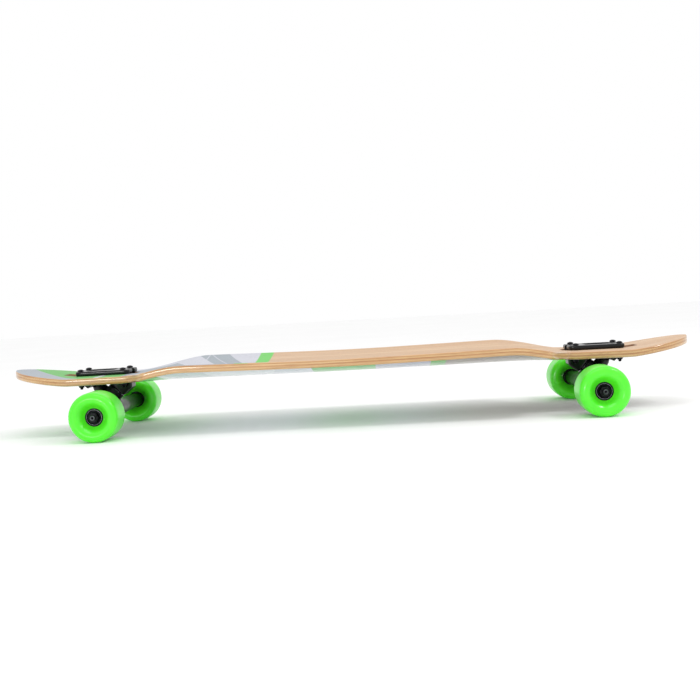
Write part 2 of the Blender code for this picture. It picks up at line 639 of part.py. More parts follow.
def build():
    start()
    maple = finish_material("maple_laminate", (0.62, 0.42, 0.24), 0.45, 0.0)
    cast = finish_material("black_cast_alloy", (0.020, 0.021, 0.022), 0.42, 0.6)
    urethane = finish_material("green_urethane", (0.10, 0.80, 0.04), 0.30, 0.0)
    nylon = finish_material("black_nylon", (0.015, 0.015, 0.016), 0.45, 0.0)
    shield = finish_material("dark_bearing_steel", (0.10, 0.10, 0.11), 0.35, 0.9)
    zinc = finish_material("zinc_steel", (0.42, 0.43, 0.45), 0.30, 1.0)
    black_steel = finish_material("black_steel", (0.03, 0.03, 0.033), 0.38, 0.8)
    rubber = finish_material("bushing_urethane", (0.022, 0.022, 0.024), 0.55, 0.0)
    deck(maple)
    for end in ("front", "rear"):
        baseplate(end, cast)
        pivot_cup(end, nylon)
        kingpin(end, black_steel)
        bushings(end, rubber, zinc)
        hex_ring("kingpin_nut_" + end, KINGPIN_NUT_FLATS, KINGPIN_RADIUS + RUNNING,
                 KINGPIN_NUT_LOW, KINGPIN_NUT_LOW + KINGPIN_NUT_HEIGHT, kingpin_frame(end),
                 black_steel)
        hanger(end, cast)
        axle(end, zinc)
        mounting_bolts(end, black_steel)
        for side in ("left", "right"):
            wheel(end, side, urethane, nylon, shield, zinc)


build()
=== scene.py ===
"""Drop-through longboard, dressed and lit for a studio picture.

Metres, +Z up.  The board stands on its wheels with +X toward its front truck, and every piece
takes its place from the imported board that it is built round.
"""
import json
import math

import bmesh
import bpy
from mathutils import Matrix, Vector


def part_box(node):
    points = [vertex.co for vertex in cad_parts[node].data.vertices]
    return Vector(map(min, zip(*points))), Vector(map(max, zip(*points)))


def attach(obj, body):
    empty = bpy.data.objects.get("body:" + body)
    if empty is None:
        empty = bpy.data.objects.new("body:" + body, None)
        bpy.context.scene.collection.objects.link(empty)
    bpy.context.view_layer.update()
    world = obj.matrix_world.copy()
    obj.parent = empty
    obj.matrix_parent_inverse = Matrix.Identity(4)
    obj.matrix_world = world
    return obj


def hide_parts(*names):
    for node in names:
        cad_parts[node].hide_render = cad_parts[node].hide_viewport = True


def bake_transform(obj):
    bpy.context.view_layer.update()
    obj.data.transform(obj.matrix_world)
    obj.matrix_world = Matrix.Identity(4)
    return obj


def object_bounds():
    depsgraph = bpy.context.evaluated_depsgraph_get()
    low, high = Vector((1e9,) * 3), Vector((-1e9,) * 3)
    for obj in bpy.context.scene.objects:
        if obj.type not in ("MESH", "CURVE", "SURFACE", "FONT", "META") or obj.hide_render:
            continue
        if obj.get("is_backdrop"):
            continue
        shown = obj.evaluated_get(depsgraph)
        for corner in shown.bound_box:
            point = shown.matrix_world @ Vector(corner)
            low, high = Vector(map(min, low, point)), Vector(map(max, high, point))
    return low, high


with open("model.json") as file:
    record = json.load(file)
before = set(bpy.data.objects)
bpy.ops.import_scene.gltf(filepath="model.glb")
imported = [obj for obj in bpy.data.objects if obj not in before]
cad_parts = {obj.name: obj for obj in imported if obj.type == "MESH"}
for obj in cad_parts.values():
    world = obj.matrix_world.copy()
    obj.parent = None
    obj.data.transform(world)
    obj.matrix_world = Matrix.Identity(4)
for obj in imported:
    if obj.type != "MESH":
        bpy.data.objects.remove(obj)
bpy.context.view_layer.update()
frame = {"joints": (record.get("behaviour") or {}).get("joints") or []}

# ---- deck -----------------------------------------------------------------------------------
# The deck is pressed from nine maple veneers into a shallow dish with necks that clear the wheels.
# Its rails are sanded round and lacquered, and a printed film covers both faces.  A slot at each
# end lets a truck drop through, and everything else hangs on it.
ENDS = ("front", "rear")
SIDES = ("left", "right")
joints = {joint["name"]: joint for joint in frame["joints"]}


def truck_frame(end):
    """Middle of an axle, with X turned outward to that end of the board."""
    left, right = (Vector(joints[f"spin_{end}_{side}"]["pos_m"]) for side in SIDES)
    turn = math.pi if end == "rear" else 0.0
    return Matrix.Translation((left + right) / 2) @ Matrix.Rotation(turn, 4, "Z")


def slab(outline, low, high, where=Matrix(), chamfer=0.0):
    """A flat outline with thickness along Z, as points and faces."""
    outline = [Vector(p) for p in outline]
    count = len(outline)
    turns = sum(outline[i - 1].cross(outline[i]) for i in range(count))
    if turns < 0:
        outline.reverse()
    inset = []
    for i, p in enumerate(outline):
        along = (outline[(i + 1) % count] - outline[i - 1]).normalized()
        inset.append(p + Vector((-along.y, along.x)) * chamfer)
    layers = [(outline, low), (outline, high)]
    if chamfer:
        layers = [(inset, low), (outline, low + chamfer), (outline, high - chamfer), (inset, high)]
    points = [where @ Vector((p.x, p.y, height)) for layer, height in layers for p in layer]
    faces = []
    for base in range(0, count * (len(layers) - 1), count):
        for k in range(count):
            j = (k + 1) % count
            faces.append((base + k, base + j, base + count + j, base + count + k))
    faces.append(tuple(range(count)))
    faces.append(tuple(range(len(points) - count, len(points))))
    return points, faces


def rounded(corners, reach, steps=6):
    """A flat outline with each corner drawn as a short curve."""
    curve = []
    for i, corner in enumerate(corners):
        corner = Vector(corner)
        before = Vector(corners[i - 1]) - corner
        after = Vector(corners[(i + 1) % len(corners)]) - corner
        start = corner + before.normalized() * min(reach, before.length * 0.45)
        stop = corner + after.normalized() * min(reach, after.length * 0.45)
        for k in range(steps + 1):
            q = k / steps
            curve.append(start * (1 - q) ** 2 + corner * (2 * q * (1 - q)) + stop * q ** 2)
    return curve


def turned(outline, where=Matrix(), sides=64):
    """A closed (radius, height) outline turned about Z, as points and faces.

    An outline point with a third value is a hexagon of that half width across its flats, cut
    back to the point's own radius where its corners would reach further.
    """
    points, rings, faces = [], [], []
    for radius, height, *flats in outline:
        if radius < 1e-7:
            rings.append([len(points)])
            points.append(where @ Vector((0, 0, height)))
            continue
        rings.append(range(len(points), len(points) + sides))
        for k in range(sides):
            angle = 2 * math.pi * k / sides
            reach = radius
            if flats:
                reach = min(radius, flats[0] / math.cos(angle % (math.pi / 3) - math.pi / 6))
            points.append(where @ Vector((reach * math.cos(angle), reach * math.sin(angle), height)))
    for ring, other in zip(rings, rings[1:] + rings[:1]):
        for k in range(sides):
            j = (k + 1) % sides
            if len(ring) == 1 and len(other) == 1:
                break
            if len(ring) == 1:
                faces.append((ring[0], other[k], other[j]))
            elif len(other) == 1:
                faces.append((ring[k], ring[j], other[0]))
            else:
                faces.append((ring[k], ring[j], other[j], other[k]))
    return points, faces


def mesh_of(name, *shells, crease=32.0):
    """One mesh from closed shells, smooth but for edges sharper than the crease angle."""
    mesh = bpy.data.meshes.new(name)
    bm = bmesh.new()
    for points, faces in shells:
        verts = [bm.verts.new(p) for p in points]
        for face in faces:
            bm.faces.new([verts[i] for i in face])
    bmesh.ops.recalc_face_normals(bm, faces=bm.faces)
    bm.to_mesh(mesh)
    bm.free()
    mesh.shade_smooth()
    mesh.set_sharp_from_angle(angle=math.radians(crease))
    return mesh


def machined(mesh, cuts, before=()):
    """The mesh after its modifiers and then one cut for each cutting mesh."""
    stock = bpy.data.objects.new("stock", mesh)
    bpy.context.scene.collection.objects.link(stock)
    for kind, settings in before:
        step = stock.modifiers.new(kind, kind)
        for key, value in settings.items():
            setattr(step, key, value)
    tools = []
    for cut in cuts:
        tool = bpy.data.objects.new("tool", cut)
        bpy.context.scene.collection.objects.link(tool)
        tools.append(tool)
        step = stock.modifiers.new("cut", "BOOLEAN")
        step.operation = "DIFFERENCE"
        step.solver = "EXACT"
        step.object = tool
    bpy.context.view_layer.update()
    done = bpy.data.meshes.new_from_object(stock.evaluated_get(bpy.context.evaluated_depsgraph_get()))
    for spent in [stock, *tools]:
        bpy.data.objects.remove(spent)
    return done


def place(mesh, name, where, body, slot, *stands_for):
    """Put a finished mesh where it belongs, riding on its body."""
    piece = bpy.data.objects.new(name, mesh)
    bpy.context.scene.collection.objects.link(piece)
    piece.matrix_world = where
    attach(piece, body)
    if stands_for:
        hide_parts(*stands_for)
    return piece


def finish(name, **sockets):
    """A new finish, with what is the same all over the piece set on its shader."""
    material = bpy.data.materials.new(name)
    material.use_nodes = True
    shader = material.node_tree.nodes["Principled BSDF"]
    for socket, value in sockets.items():
        shader.inputs[socket.replace("_", " ")].default_value = value
    return material, material.node_tree, shader


def add(tree, kind, sockets=None, **settings):
    """Add a node; its sockets take a value or another node's output."""
    made = tree.nodes.new("ShaderNode" + kind)
    for key, value in settings.items():
        setattr(made, key, value)
    for socket, value in (sockets or {}).items():
        if isinstance(value, bpy.types.NodeSocket):
            tree.links.new(value, made.inputs[socket])
        else:
            made.inputs[socket].default_value = value
    return made


def tint(red, green, blue):
    """A paint-chart colour (0 to 255) as light."""
    return (*((c / 255) ** 2.2 for c in (red, green, blue)), 1.0)


def calc(tree, operation, *values):
    sockets = dict(enumerate(values))
    return add(tree, "Math", sockets, operation=operation).outputs[0]


def step_at(tree, value, edge, soft):
    """0 below the edge, 1 above it, with a soft change between."""
    ends = {"Value": value, "From Min": edge - soft, "From Max": edge + soft}
    return add(tree, "MapRange", ends, interpolation_type="SMOOTHSTEP").outputs[0]


def lay(tree, share, under, over):
    """One colour laid over another where the share is 1."""
    mix = add(tree, "Mix", {0: share, 6: under, 7: over}, data_type="RGBA")
    return mix.outputs[2]


def noise(tree, stretch, detail, rough=0.55):
    """Noise in the piece's own metres, with so many cells a metre along X, Y and Z."""
    here = add(tree, "TexCoord").outputs["Object"]
    scaled = add(tree, "Mapping", {"Vector": here, "Scale": stretch}).outputs[0]
    cells = {"Vector": scaled, "Scale": 1.0, "Detail": detail, "Roughness": rough}
    return add(tree, "TexNoise", cells).outputs[0]


def between(tree, value, low, high):
    """Spread the middle of a noise value from low to high."""
    ends = {"Value": value, "From Min": 0.3, "From Max": 0.7, "To Min": low, "To Max": high}
    return add(tree, "MapRange", ends).outputs[0]


def relief(tree, shader, height, depth):
    """Raise the surface by up to a depth, in metres."""
    bump = add(tree, "Bump", {"Height": height, "Distance": depth, "Strength": 1.0})
    tree.links.new(bump.outputs[0], shader.inputs["Normal"])


DECK_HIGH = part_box("deck")[1]
AXLE = truck_frame("front").translation
DECK_HALF_LENGTH = DECK_HIGH.x
DECK_THICKNESS = 0.0108
BODY_HALF_WIDTH = DECK_HIGH.y
NECK_HALF_WIDTH = 0.067
LOBE_HALF_WIDTH = 0.071
BODY_END, NECK_START, LOBE_START = 0.280, 0.3195, 0.400
TIP_POWER = 2.2
RAIL_ROUND, RAIL_MOST_SHARE = 0.0032, 0.4
DECK_TOP = AXLE.z + 0.0508
BODY_SAG = 0.0009
CONCAVE_MIDDLE, CONCAVE_SHOULDER = 0.0132, 0.0156
CONCAVE_END, FLAT_START, CONCAVE_POWER = 0.228, 0.332, 2.2
NOSE_START, NOSE_RISE, NOSE_POWER = 0.4075, 0.0133, 1.2


def ease(low, high, x):
    t = min(max((x - low) / (high - low), 0.0), 1.0)
    return t * t * (3 - 2 * t)


def half_width(x):
    x = abs(x)
    width = BODY_HALF_WIDTH + (NECK_HALF_WIDTH - BODY_HALF_WIDTH) * ease(BODY_END, NECK_START, x)
    width += (LOBE_HALF_WIDTH - NECK_HALF_WIDTH) * ease(NECK_START, LOBE_START, x)
    if x > LOBE_START:
        t = min((x - LOBE_START) / (DECK_HALF_LENGTH - LOBE_START), 0.9995)
        width = LOBE_HALF_WIDTH * math.sqrt(1 - t ** TIP_POWER)
    return width


def deck_top(x, share):
    """Height of the top face at a share of the half width."""
    x = abs(x)
    height = DECK_TOP - BODY_SAG * (1 - ease(0.0, FLAT_START, x))
    if x > NOSE_START:
        height += NOSE_RISE * ((x - NOSE_START) / (DECK_HALF_LENGTH - NOSE_START)) ** NOSE_POWER
    concave = CONCAVE_MIDDLE + (CONCAVE_SHOULDER - CONCAVE_MIDDLE) * ease(0.0, BODY_END, x)
    concave *= 1 - ease(CONCAVE_END, FLAT_START, x)
    return height + concave * min(abs(share), 1.0) ** CONCAVE_POWER


def section_top(x, y):
    """Height of the top face before its rail is rounded; the rail itself has no concave."""
    width = half_width(x)
    return deck_top(x, min(abs(y) / width, 1 - min(RAIL_ROUND / width, RAIL_MOST_SHARE)))


def spread(start, stop, count):
    return [start + (stop - start) * k / count for k in range(count)]


BODY_STEPS, NECK_STEPS, LOBE_STEPS, TIP_STEPS = 32, 20, 12, 30
ACROSS_STEPS, RAIL_STEPS = 28, 6
TIP_LAST_ANGLE = 88.5


def deck_shell():
    """The pressed board before its slots are cut: sections from tip to tip."""
    tip = DECK_HALF_LENGTH - LOBE_START
    stations = spread(0.0, BODY_END, BODY_STEPS) + spread(BODY_END, NECK_START, NECK_STEPS)
    stations += spread(NECK_START, LOBE_START, LOBE_STEPS)
    stations += [LOBE_START + tip * math.sin(math.radians(a))
                 for a in spread(0.0, TIP_LAST_ANGLE, TIP_STEPS)]
    stations.append(DECK_HALF_LENGTH)
    stations = [-x for x in reversed(stations[1:])] + stations
    across = [-math.sin(math.radians(a)) for a in spread(90.0, -90.0, ACROSS_STEPS)] + [1.0]
    around = [math.radians(a) for a in spread(0.0, 90.0, RAIL_STEPS)[1:]] + [math.radians(90.0)]
    points = []
    for x in stations:
        width = half_width(x)
        round_off = min(RAIL_ROUND, width * RAIL_MOST_SHARE)
        flat = width - round_off
        half = DECK_THICKNESS / 2
        rail = [(flat + round_off * math.sin(a), half - round_off * (1 - math.cos(a)))
                for a in around]
        rail += [(y, -z) for y, z in reversed(rail)]
        section = [(flat * s, half) for s in across] + rail
        section += [(flat * s, -half) for s in reversed(across)] + [(-y, z) for y, z in reversed(rail)]
        points += [(x, y, section_top(x, y) - half + z) for y, z in section]
    count = len(points) // len(stations)
    faces = [tuple(range(count)), tuple(range(len(points) - count, len(points)))]
    for base in range(0, len(points) - count, count):
        for k in range(count):
            j = (k + 1) % count
            faces.append((base + k, base + j, base + count + j, base + count + k))
    return points, faces


SLOT_INNER, SLOT_OUTER, SLOT_HALF_WIDTH = -0.033, 0.077, 0.0145
WAIST_INNER, WAIST_OUTER, WAIST_HALF_WIDTH = -0.002, 0.036, 0.0255
SLOT_CORNER = 0.006
BOLT_CENTRE, BOLT_SPACING_X, BOLT_SPACING_Y = 0.0165, 0.0635, 0.0413
BOLT_RADIUS = 0.0024
HOLE_ROOM = 0.0003


def bolt_frames(end):
    """The four bolts of a truck's mounting pattern."""
    for dx in (-0.5, 0.5):
        for dy in (-0.5, 0.5):
            middle = (BOLT_CENTRE + dx * BOLT_SPACING_X, dy * BOLT_SPACING_Y, 0)
            yield truck_frame(end) @ Matrix.Translation(middle)


def deck_cuts():
    """The two drop-through slots and the eight bolt holes."""
    corners = [(SLOT_INNER, -SLOT_HALF_WIDTH), (WAIST_INNER, -SLOT_HALF_WIDTH),
               (WAIST_INNER, -WAIST_HALF_WIDTH), (WAIST_OUTER, -WAIST_HALF_WIDTH),
               (WAIST_OUTER, -SLOT_HALF_WIDTH), (SLOT_OUTER, -SLOT_HALF_WIDTH)]
    corners += [(x, -y) for x, y in reversed(corners)]
    top = DECK_TOP - AXLE.z
    low, high = top - DECK_THICKNESS - 0.01, top + 0.02
    for end in ENDS:
        where = truck_frame(end)
        yield mesh_of("slot", slab(rounded(corners, SLOT_CORNER), low, high, where))
        for spot in bolt_frames(end):
            bore = BOLT_RADIUS + HOLE_ROOM
            hole = [(0, low), (bore, low), (bore, high), (0, high)]
            yield mesh_of("hole", turned(hole, spot, 24))


# The film on top: grey tip, green round the rear truck, greys with slanted patches, one
# green band, then bare wood under clear speckled grip.  Each edge is a slanted line, given as
# its place along the middle of the deck and its lean.
TIP_GREY = tint(166, 173, 180)
PALE_GREY = tint(199, 200, 209)
SLATE = tint(158, 166, 173)
SOFT_GREEN = tint(108, 183, 98)
BAND_GREEN = tint(112, 200, 98)
WOOD_LIGHT = tint(217, 189, 158)
WOOD_DARK = tint(194, 155, 121)
PATCHES = [((-0.3504, 0.718), (-0.2211, -0.588), SLATE),
           ((-0.1807, -0.534), (-0.1415, -0.463), SLATE),
           ((-0.2385, 0.079), (-0.2367, 0.079), PALE_GREY),
           ((-0.1640, -0.513), (-0.1622, -0.513), PALE_GREY)]
BAND_START, BAND_STOP = (-0.149, 0.035), (-0.1291, 0.043)
REAR_GREEN_EDGE, REAR_STRIPE = (-0.331, -0.06), ((-0.3655, 0.02), (-0.3585, 0.02))
TIP_EDGE, TIP_BOW = (-0.4590, -0.86), -2.0
PRINT_SOFTNESS = 0.0005


def beyond_line(tree, x, y, at, lean):
    """1 to the +X side of a slanted line that crosses the middle of the deck at a place."""
    return step_at(tree, calc(tree, "MULTIPLY_ADD", y, -lean, x), at, PRINT_SOFTNESS)


def strip(tree, x, y, left, right):
    """1 between two slanted lines, each given as (place, lean)."""
    inside = calc(tree, "SUBTRACT", 1.0, beyond_line(tree, x, y, *right))
    return calc(tree, "MULTIPLY", beyond_line(tree, x, y, *left), inside)


def wood_colour(tree, light, dark):
    """Long pale grain with thin darker pore lines along the board."""
    broad = noise(tree, (2.4, 60.0, 60.0), 3.0)
    streaks = noise(tree, (4.0, 260.0, 260.0), 3.0, 0.6)
    fine = noise(tree, (14.0, 900.0, 900.0), 3.0, 0.6)
    base = lay(tree, between(tree, broad, 0.0, 0.6), light, dark)
    base = lay(tree, calc(tree, "MAXIMUM", between(tree, streaks, -0.25, 0.75), 0.0), base, dark)
    return lay(tree, calc(tree, "MAXIMUM", between(tree, fine, -0.5, 0.6), 0.0), base, dark)


def top_finish():
    material, tree, shader = finish("printed_top_with_grip", Coat_Weight=0.08, Coat_Roughness=0.35)
    here = add(tree, "SeparateXYZ", {0: add(tree, "TexCoord").outputs["Object"]})
    x, y = here.outputs[0], here.outputs[1]
    printed = PALE_GREY
    for left, right, shade in PATCHES:
        printed = lay(tree, strip(tree, x, y, left, right), printed, shade)
    bare = beyond_line(tree, x, y, *BAND_START)
    colour = lay(tree, bare, printed, wood_colour(tree, WOOD_LIGHT, WOOD_DARK))
    colour = lay(tree, strip(tree, x, y, BAND_START, BAND_STOP), colour, BAND_GREEN)
    green = calc(tree, "SUBTRACT", 1.0, beyond_line(tree, x, y, *REAR_GREEN_EDGE))
    colour = lay(tree, green, colour, SOFT_GREEN)
    colour = lay(tree, strip(tree, x, y, *REAR_STRIPE), colour, PALE_GREY)
    bow = calc(tree, "MULTIPLY", calc(tree, "MULTIPLY", y, y), TIP_BOW)
    curve = calc(tree, "ADD", x, bow)
    tip = calc(tree, "SUBTRACT", 1.0, beyond_line(tree, curve, y, *TIP_EDGE))
    colour = lay(tree, tip, colour, TIP_GREY)
    grit = noise(tree, (700.0, 700.0, 700.0), 2.0, 0.75)
    scuffs = noise(tree, (9.0, 26.0, 26.0), 5.0, 0.7)
    shade = calc(tree, "MULTIPLY", between(tree, grit, 0.80, 1.12), between(tree, scuffs, 0.96, 1.03))
    shaded = add(tree, "VectorMath", {0: colour, "Scale": shade}, operation="SCALE").outputs[0]
    tree.links.new(shaded, shader.inputs["Base Color"])
    tree.links.new(between(tree, grit, 0.46, 0.74), shader.inputs["Roughness"])
    relief(tree, shader, grit, 0.00035)
    return material


# The underside's film: pale greys and greens in broad fields, plain toward the front truck.
UNDER_FIELDS = [((-0.60, 0.0), (-0.250, 0.10), tint(96, 190, 92)),
                ((-0.250, 0.10), (-0.214, 0.35), tint(232, 236, 242)),
                ((-0.214, 0.35), (-0.186, 0.10), tint(204, 213, 220)),
                ((-0.186, 0.10), (-0.120, -0.2), tint(228, 233, 238)),
                ((-0.120, -0.2), (-0.0465, 0.0), tint(214, 220, 230)),
                ((-0.0465, 0.0), (0.042, 0.0), tint(104, 190, 98)),
                ((0.042, 0.0), (0.1187, 0.0), tint(190, 192, 210)),
                ((0.1187, 0.0), (0.1398, 0.0), tint(96, 186, 84))]
UNDER_PLAIN = tint(162, 152, 146)


def under_finish():
    material, tree, shader = finish("printed_underside", Coat_Weight=0.5, Coat_Roughness=0.16)
    here = add(tree, "SeparateXYZ", {0: add(tree, "TexCoord").outputs["Object"]})
    x, y = here.outputs[0], here.outputs[1]
    colour = wood_colour(tree, UNDER_PLAIN, tint(146, 134, 126))
    for left, right, shade in UNDER_FIELDS:
        colour = lay(tree, strip(tree, x, y, left, right), colour, shade)
    wear = noise(tree, (22.0, 60.0, 60.0), 6.0, 0.7)
    shade = between(tree, wear, 0.93, 1.03)
    shaded = add(tree, "VectorMath", {0: colour, "Scale": shade}, operation="SCALE").outputs[0]
    tree.links.new(shaded, shader.inputs["Base Color"])
    tree.links.new(between(tree, wear, 0.26, 0.42), shader.inputs["Roughness"])
    relief(tree, shader, noise(tree, (20.0, 500.0, 500.0), 3.0), 0.00004)
    return material


# The rail shows the nine veneers on edge, each a little different, with dark glue lines.
VENEERS = 9
GLUE_SHARE = 0.10


def rail_finish():
    material, tree, shader = finish("lacquered_veneer_rail", Coat_Weight=1.0, Coat_Roughness=0.05)
    ply = add(tree, "Attribute", attribute_name="ply").outputs["Fac"]
    waver = noise(tree, (7.0, 40.0, 40.0), 3.0)
    level = calc(tree, "MULTIPLY", calc(tree, "ADD", ply, between(tree, waver, -0.035, 0.035)), VENEERS)
    which = calc(tree, "FLOOR", level)
    run = noise(tree, (3.2, 25.0, 160.0), 4.0, 0.65)
    pick = add(tree, "TexWhiteNoise", {"W": which}, noise_dimensions="1D").outputs[0]
    tone = calc(tree, "ADD", calc(tree, "MULTIPLY", pick, 0.55), between(tree, run, 0.0, 0.45))
    ramp = add(tree, "ValToRGB", {0: tone})
    stops = ramp.color_ramp.elements
    stops[0].position, stops[0].color = 0.05, tint(158, 104, 58)
    stops[1].position, stops[1].color = 0.95, tint(218, 184, 136)
    stops.new(0.35).color = tint(184, 134, 80)
    stops.new(0.62).color = tint(202, 162, 108)
    fibre = noise(tree, (24.0, 1400.0, 1400.0), 3.0, 0.7)
    fibres = calc(tree, "MAXIMUM", between(tree, fibre, -0.6, 0.7), 0.0)
    colour = lay(tree, fibres, ramp.outputs[0], tint(142, 88, 46))
    part = calc(tree, "FRACT", level)
    glue = calc(tree, "LESS_THAN", part, GLUE_SHARE)
    colour = lay(tree, calc(tree, "MULTIPLY", glue, 0.6), colour, tint(98, 58, 30))
    tree.links.new(colour, shader.inputs["Base Color"])
    tree.links.new(between(tree, run, 0.30, 0.45), shader.inputs["Roughness"])
    relief(tree, shader, fibre, 0.00005)
    return material


def cut_finish():
    """Routed walls of the slots and holes, burnt a little by the cutter and sealed."""
    material, tree, shader = finish("routed_slot_wall", Coat_Weight=0.2, Coat_Roughness=0.3)
    run = noise(tree, (12.0, 12.0, 900.0), 4.0, 0.6)
    colour = lay(tree, between(tree, run, 0.0, 1.0), tint(118, 76, 48), tint(160, 112, 74))
    tree.links.new(colour, shader.inputs["Base Color"])
    tree.links.new(between(tree, run, 0.45, 0.65), shader.inputs["Roughness"])
    relief(tree, shader, run, 0.00005)
    return material


FLAT_NORMAL, SKIN_SHARE = 0.90, 0.10
board = machined(mesh_of("deck_board", deck_shell(), crease=40.0), list(deck_cuts()))
for coat in (top_finish(), under_finish(), rail_finish(), cut_finish()):
    board.materials.append(coat)
depth = board.attributes.new("ply", "FLOAT", "POINT")
for vertex in board.vertices:
    x, y, z = vertex.co
    depth.data[vertex.index].value = min(max((section_top(x, y) - z) / DECK_THICKNESS, 0.0), 1.0)
for face in board.polygons:
    x, y, z = face.center
    share = (section_top(x, y) - z) / DECK_THICKNESS
    flat_top = face.normal.z > FLAT_NORMAL and share < SKIN_SHARE
    flat_under = face.normal.z < -FLAT_NORMAL and share > 1 - SKIN_SHARE
    inside = abs(y) < LOBE_HALF_WIDTH * 0.6 and abs(x) < DECK_HALF_LENGTH - 0.05
    face.material_index = 0 if flat_top else 1 if flat_under else 3 if inside else 2
place(board, "deck_board", Matrix(), "board", "maple_laminate", "deck")

# ---- baseplates -----------------------------------------------------------------------------
# Each truck's baseplate is one aluminium casting, painted satin black.  Its plate sits on top of
# the deck, and a leg for the kingpin and a housing for the pivot cup reach down through the slot.
# The seats and bores are machined after casting.
STEER_ANGLE = math.asin(joints["steer_front"]["axis"][2])
STEER_OFFSET = (AXLE - Vector(joints["steer_front"]["pos_m"])).length
KINGPIN_AT = 0.0205
PLATE_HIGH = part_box("baseplate_front")[1]
PLATE_INNER, PLATE_OUTER = -0.026, PLATE_HIGH.x - AXLE.x
PLATE_HALF_WIDTH = PLATE_HIGH.y
PLATE_TOP = PLATE_HIGH.z - AXLE.z
PLATE_THICKNESS = 0.0066
PLATE_BOTTOM = PLATE_TOP - PLATE_THICKNESS
LEG_END = 0.0204
LEG_SIDE, LEG_INNER, LEG_HALF_WIDTH = 0.0137, -0.0252, 0.013
KINGPIN_RADIUS = 0.00475
KINGPIN_SEAT = 0.044
HEAD_POCKET_RADIUS = 0.0092
NOSE_PIN_RADIUS = 0.0065
CUP_FACE, CUP_DEPTH, CUP_WALL = 0.0505, 0.0105, 0.0027
HOUSING_HALF_WIDTH, HOUSING_SIDE = 0.012, 0.012
PLATE_CORNER, PLATE_CHAMFER = 0.009, 0.0012
CAST_CORNER, CAST_CHAMFER = 0.0022, 0.0015
RECESS_LENGTH, RECESS_HALF_WIDTH, RECESS_CORNER, RECESS_DEPTH = 0.040, 0.0165, 0.006, 0.0018
CLEAR = 0.01
PLATE_VOXEL = 0.0007
GAP = 0.0003


def steer_frame(end):
    """On the steering axis, with Z along it outward and up."""
    tilt = Matrix.Rotation(math.pi / 2 - STEER_ANGLE, 4, "Y")
    return truck_frame(end) @ tilt @ Matrix.Translation((STEER_OFFSET, 0, 0))


def kingpin_frame(end):
    """On the kingpin at the middle of the hanger's ring, with Z up to the board."""
    turn = Matrix.Rotation(-math.pi / 2, 4, "Y")
    return steer_frame(end) @ Matrix.Translation((0, 0, KINGPIN_AT)) @ turn


def side_view(along, above):
    """A point of the side view, from its places along the steering axis and above it."""
    c, s = math.cos(STEER_ANGLE), math.sin(STEER_ANGLE)
    n = above - STEER_OFFSET
    return (along * c - n * s, along * s + n * c)


def cast_finish():
    """Satin black paint over a slightly grainy casting."""
    material, tree, shader = finish("black_painted_casting", Specular_IOR_Level=0.1,
                                    Coat_Weight=0.45, Coat_Roughness=0.08)
    skin = noise(tree, (420.0, 420.0, 420.0), 3.0, 0.6)
    cloud = noise(tree, (38.0, 38.0, 38.0), 5.0, 0.65)
    colour = lay(tree, between(tree, cloud, 0.0, 1.0), tint(9, 10, 11), tint(20, 22, 23))
    tree.links.new(colour, shader.inputs["Base Color"])
    tree.links.new(between(tree, cloud, 0.32, 0.48), shader.inputs["Roughness"])
    relief(tree, shader, skin, 0.00006)
    return material


CAST = cast_finish()


def home(end):
    """Turns what was made for the front truck to the truck of that end."""
    return truck_frame(end) @ truck_frame("front").inverted()


def grown(name, shells, voxel, passes, cuts):
    """Overlapping shells grown into one casting with filleted corners, then machined."""
    steps = [("REMESH", {"mode": "VOXEL", "voxel_size": voxel, "adaptivity": 0.0}),
             ("SMOOTH", {"factor": 0.5, "iterations": passes})]
    mesh = machined(mesh_of(name, *shells), cuts, steps)
    mesh.name = name
    mesh.materials.clear()
    mesh.materials.append(CAST)
    mesh.shade_smooth()
    mesh.set_sharp_from_angle(angle=math.radians(38.0))
    return mesh


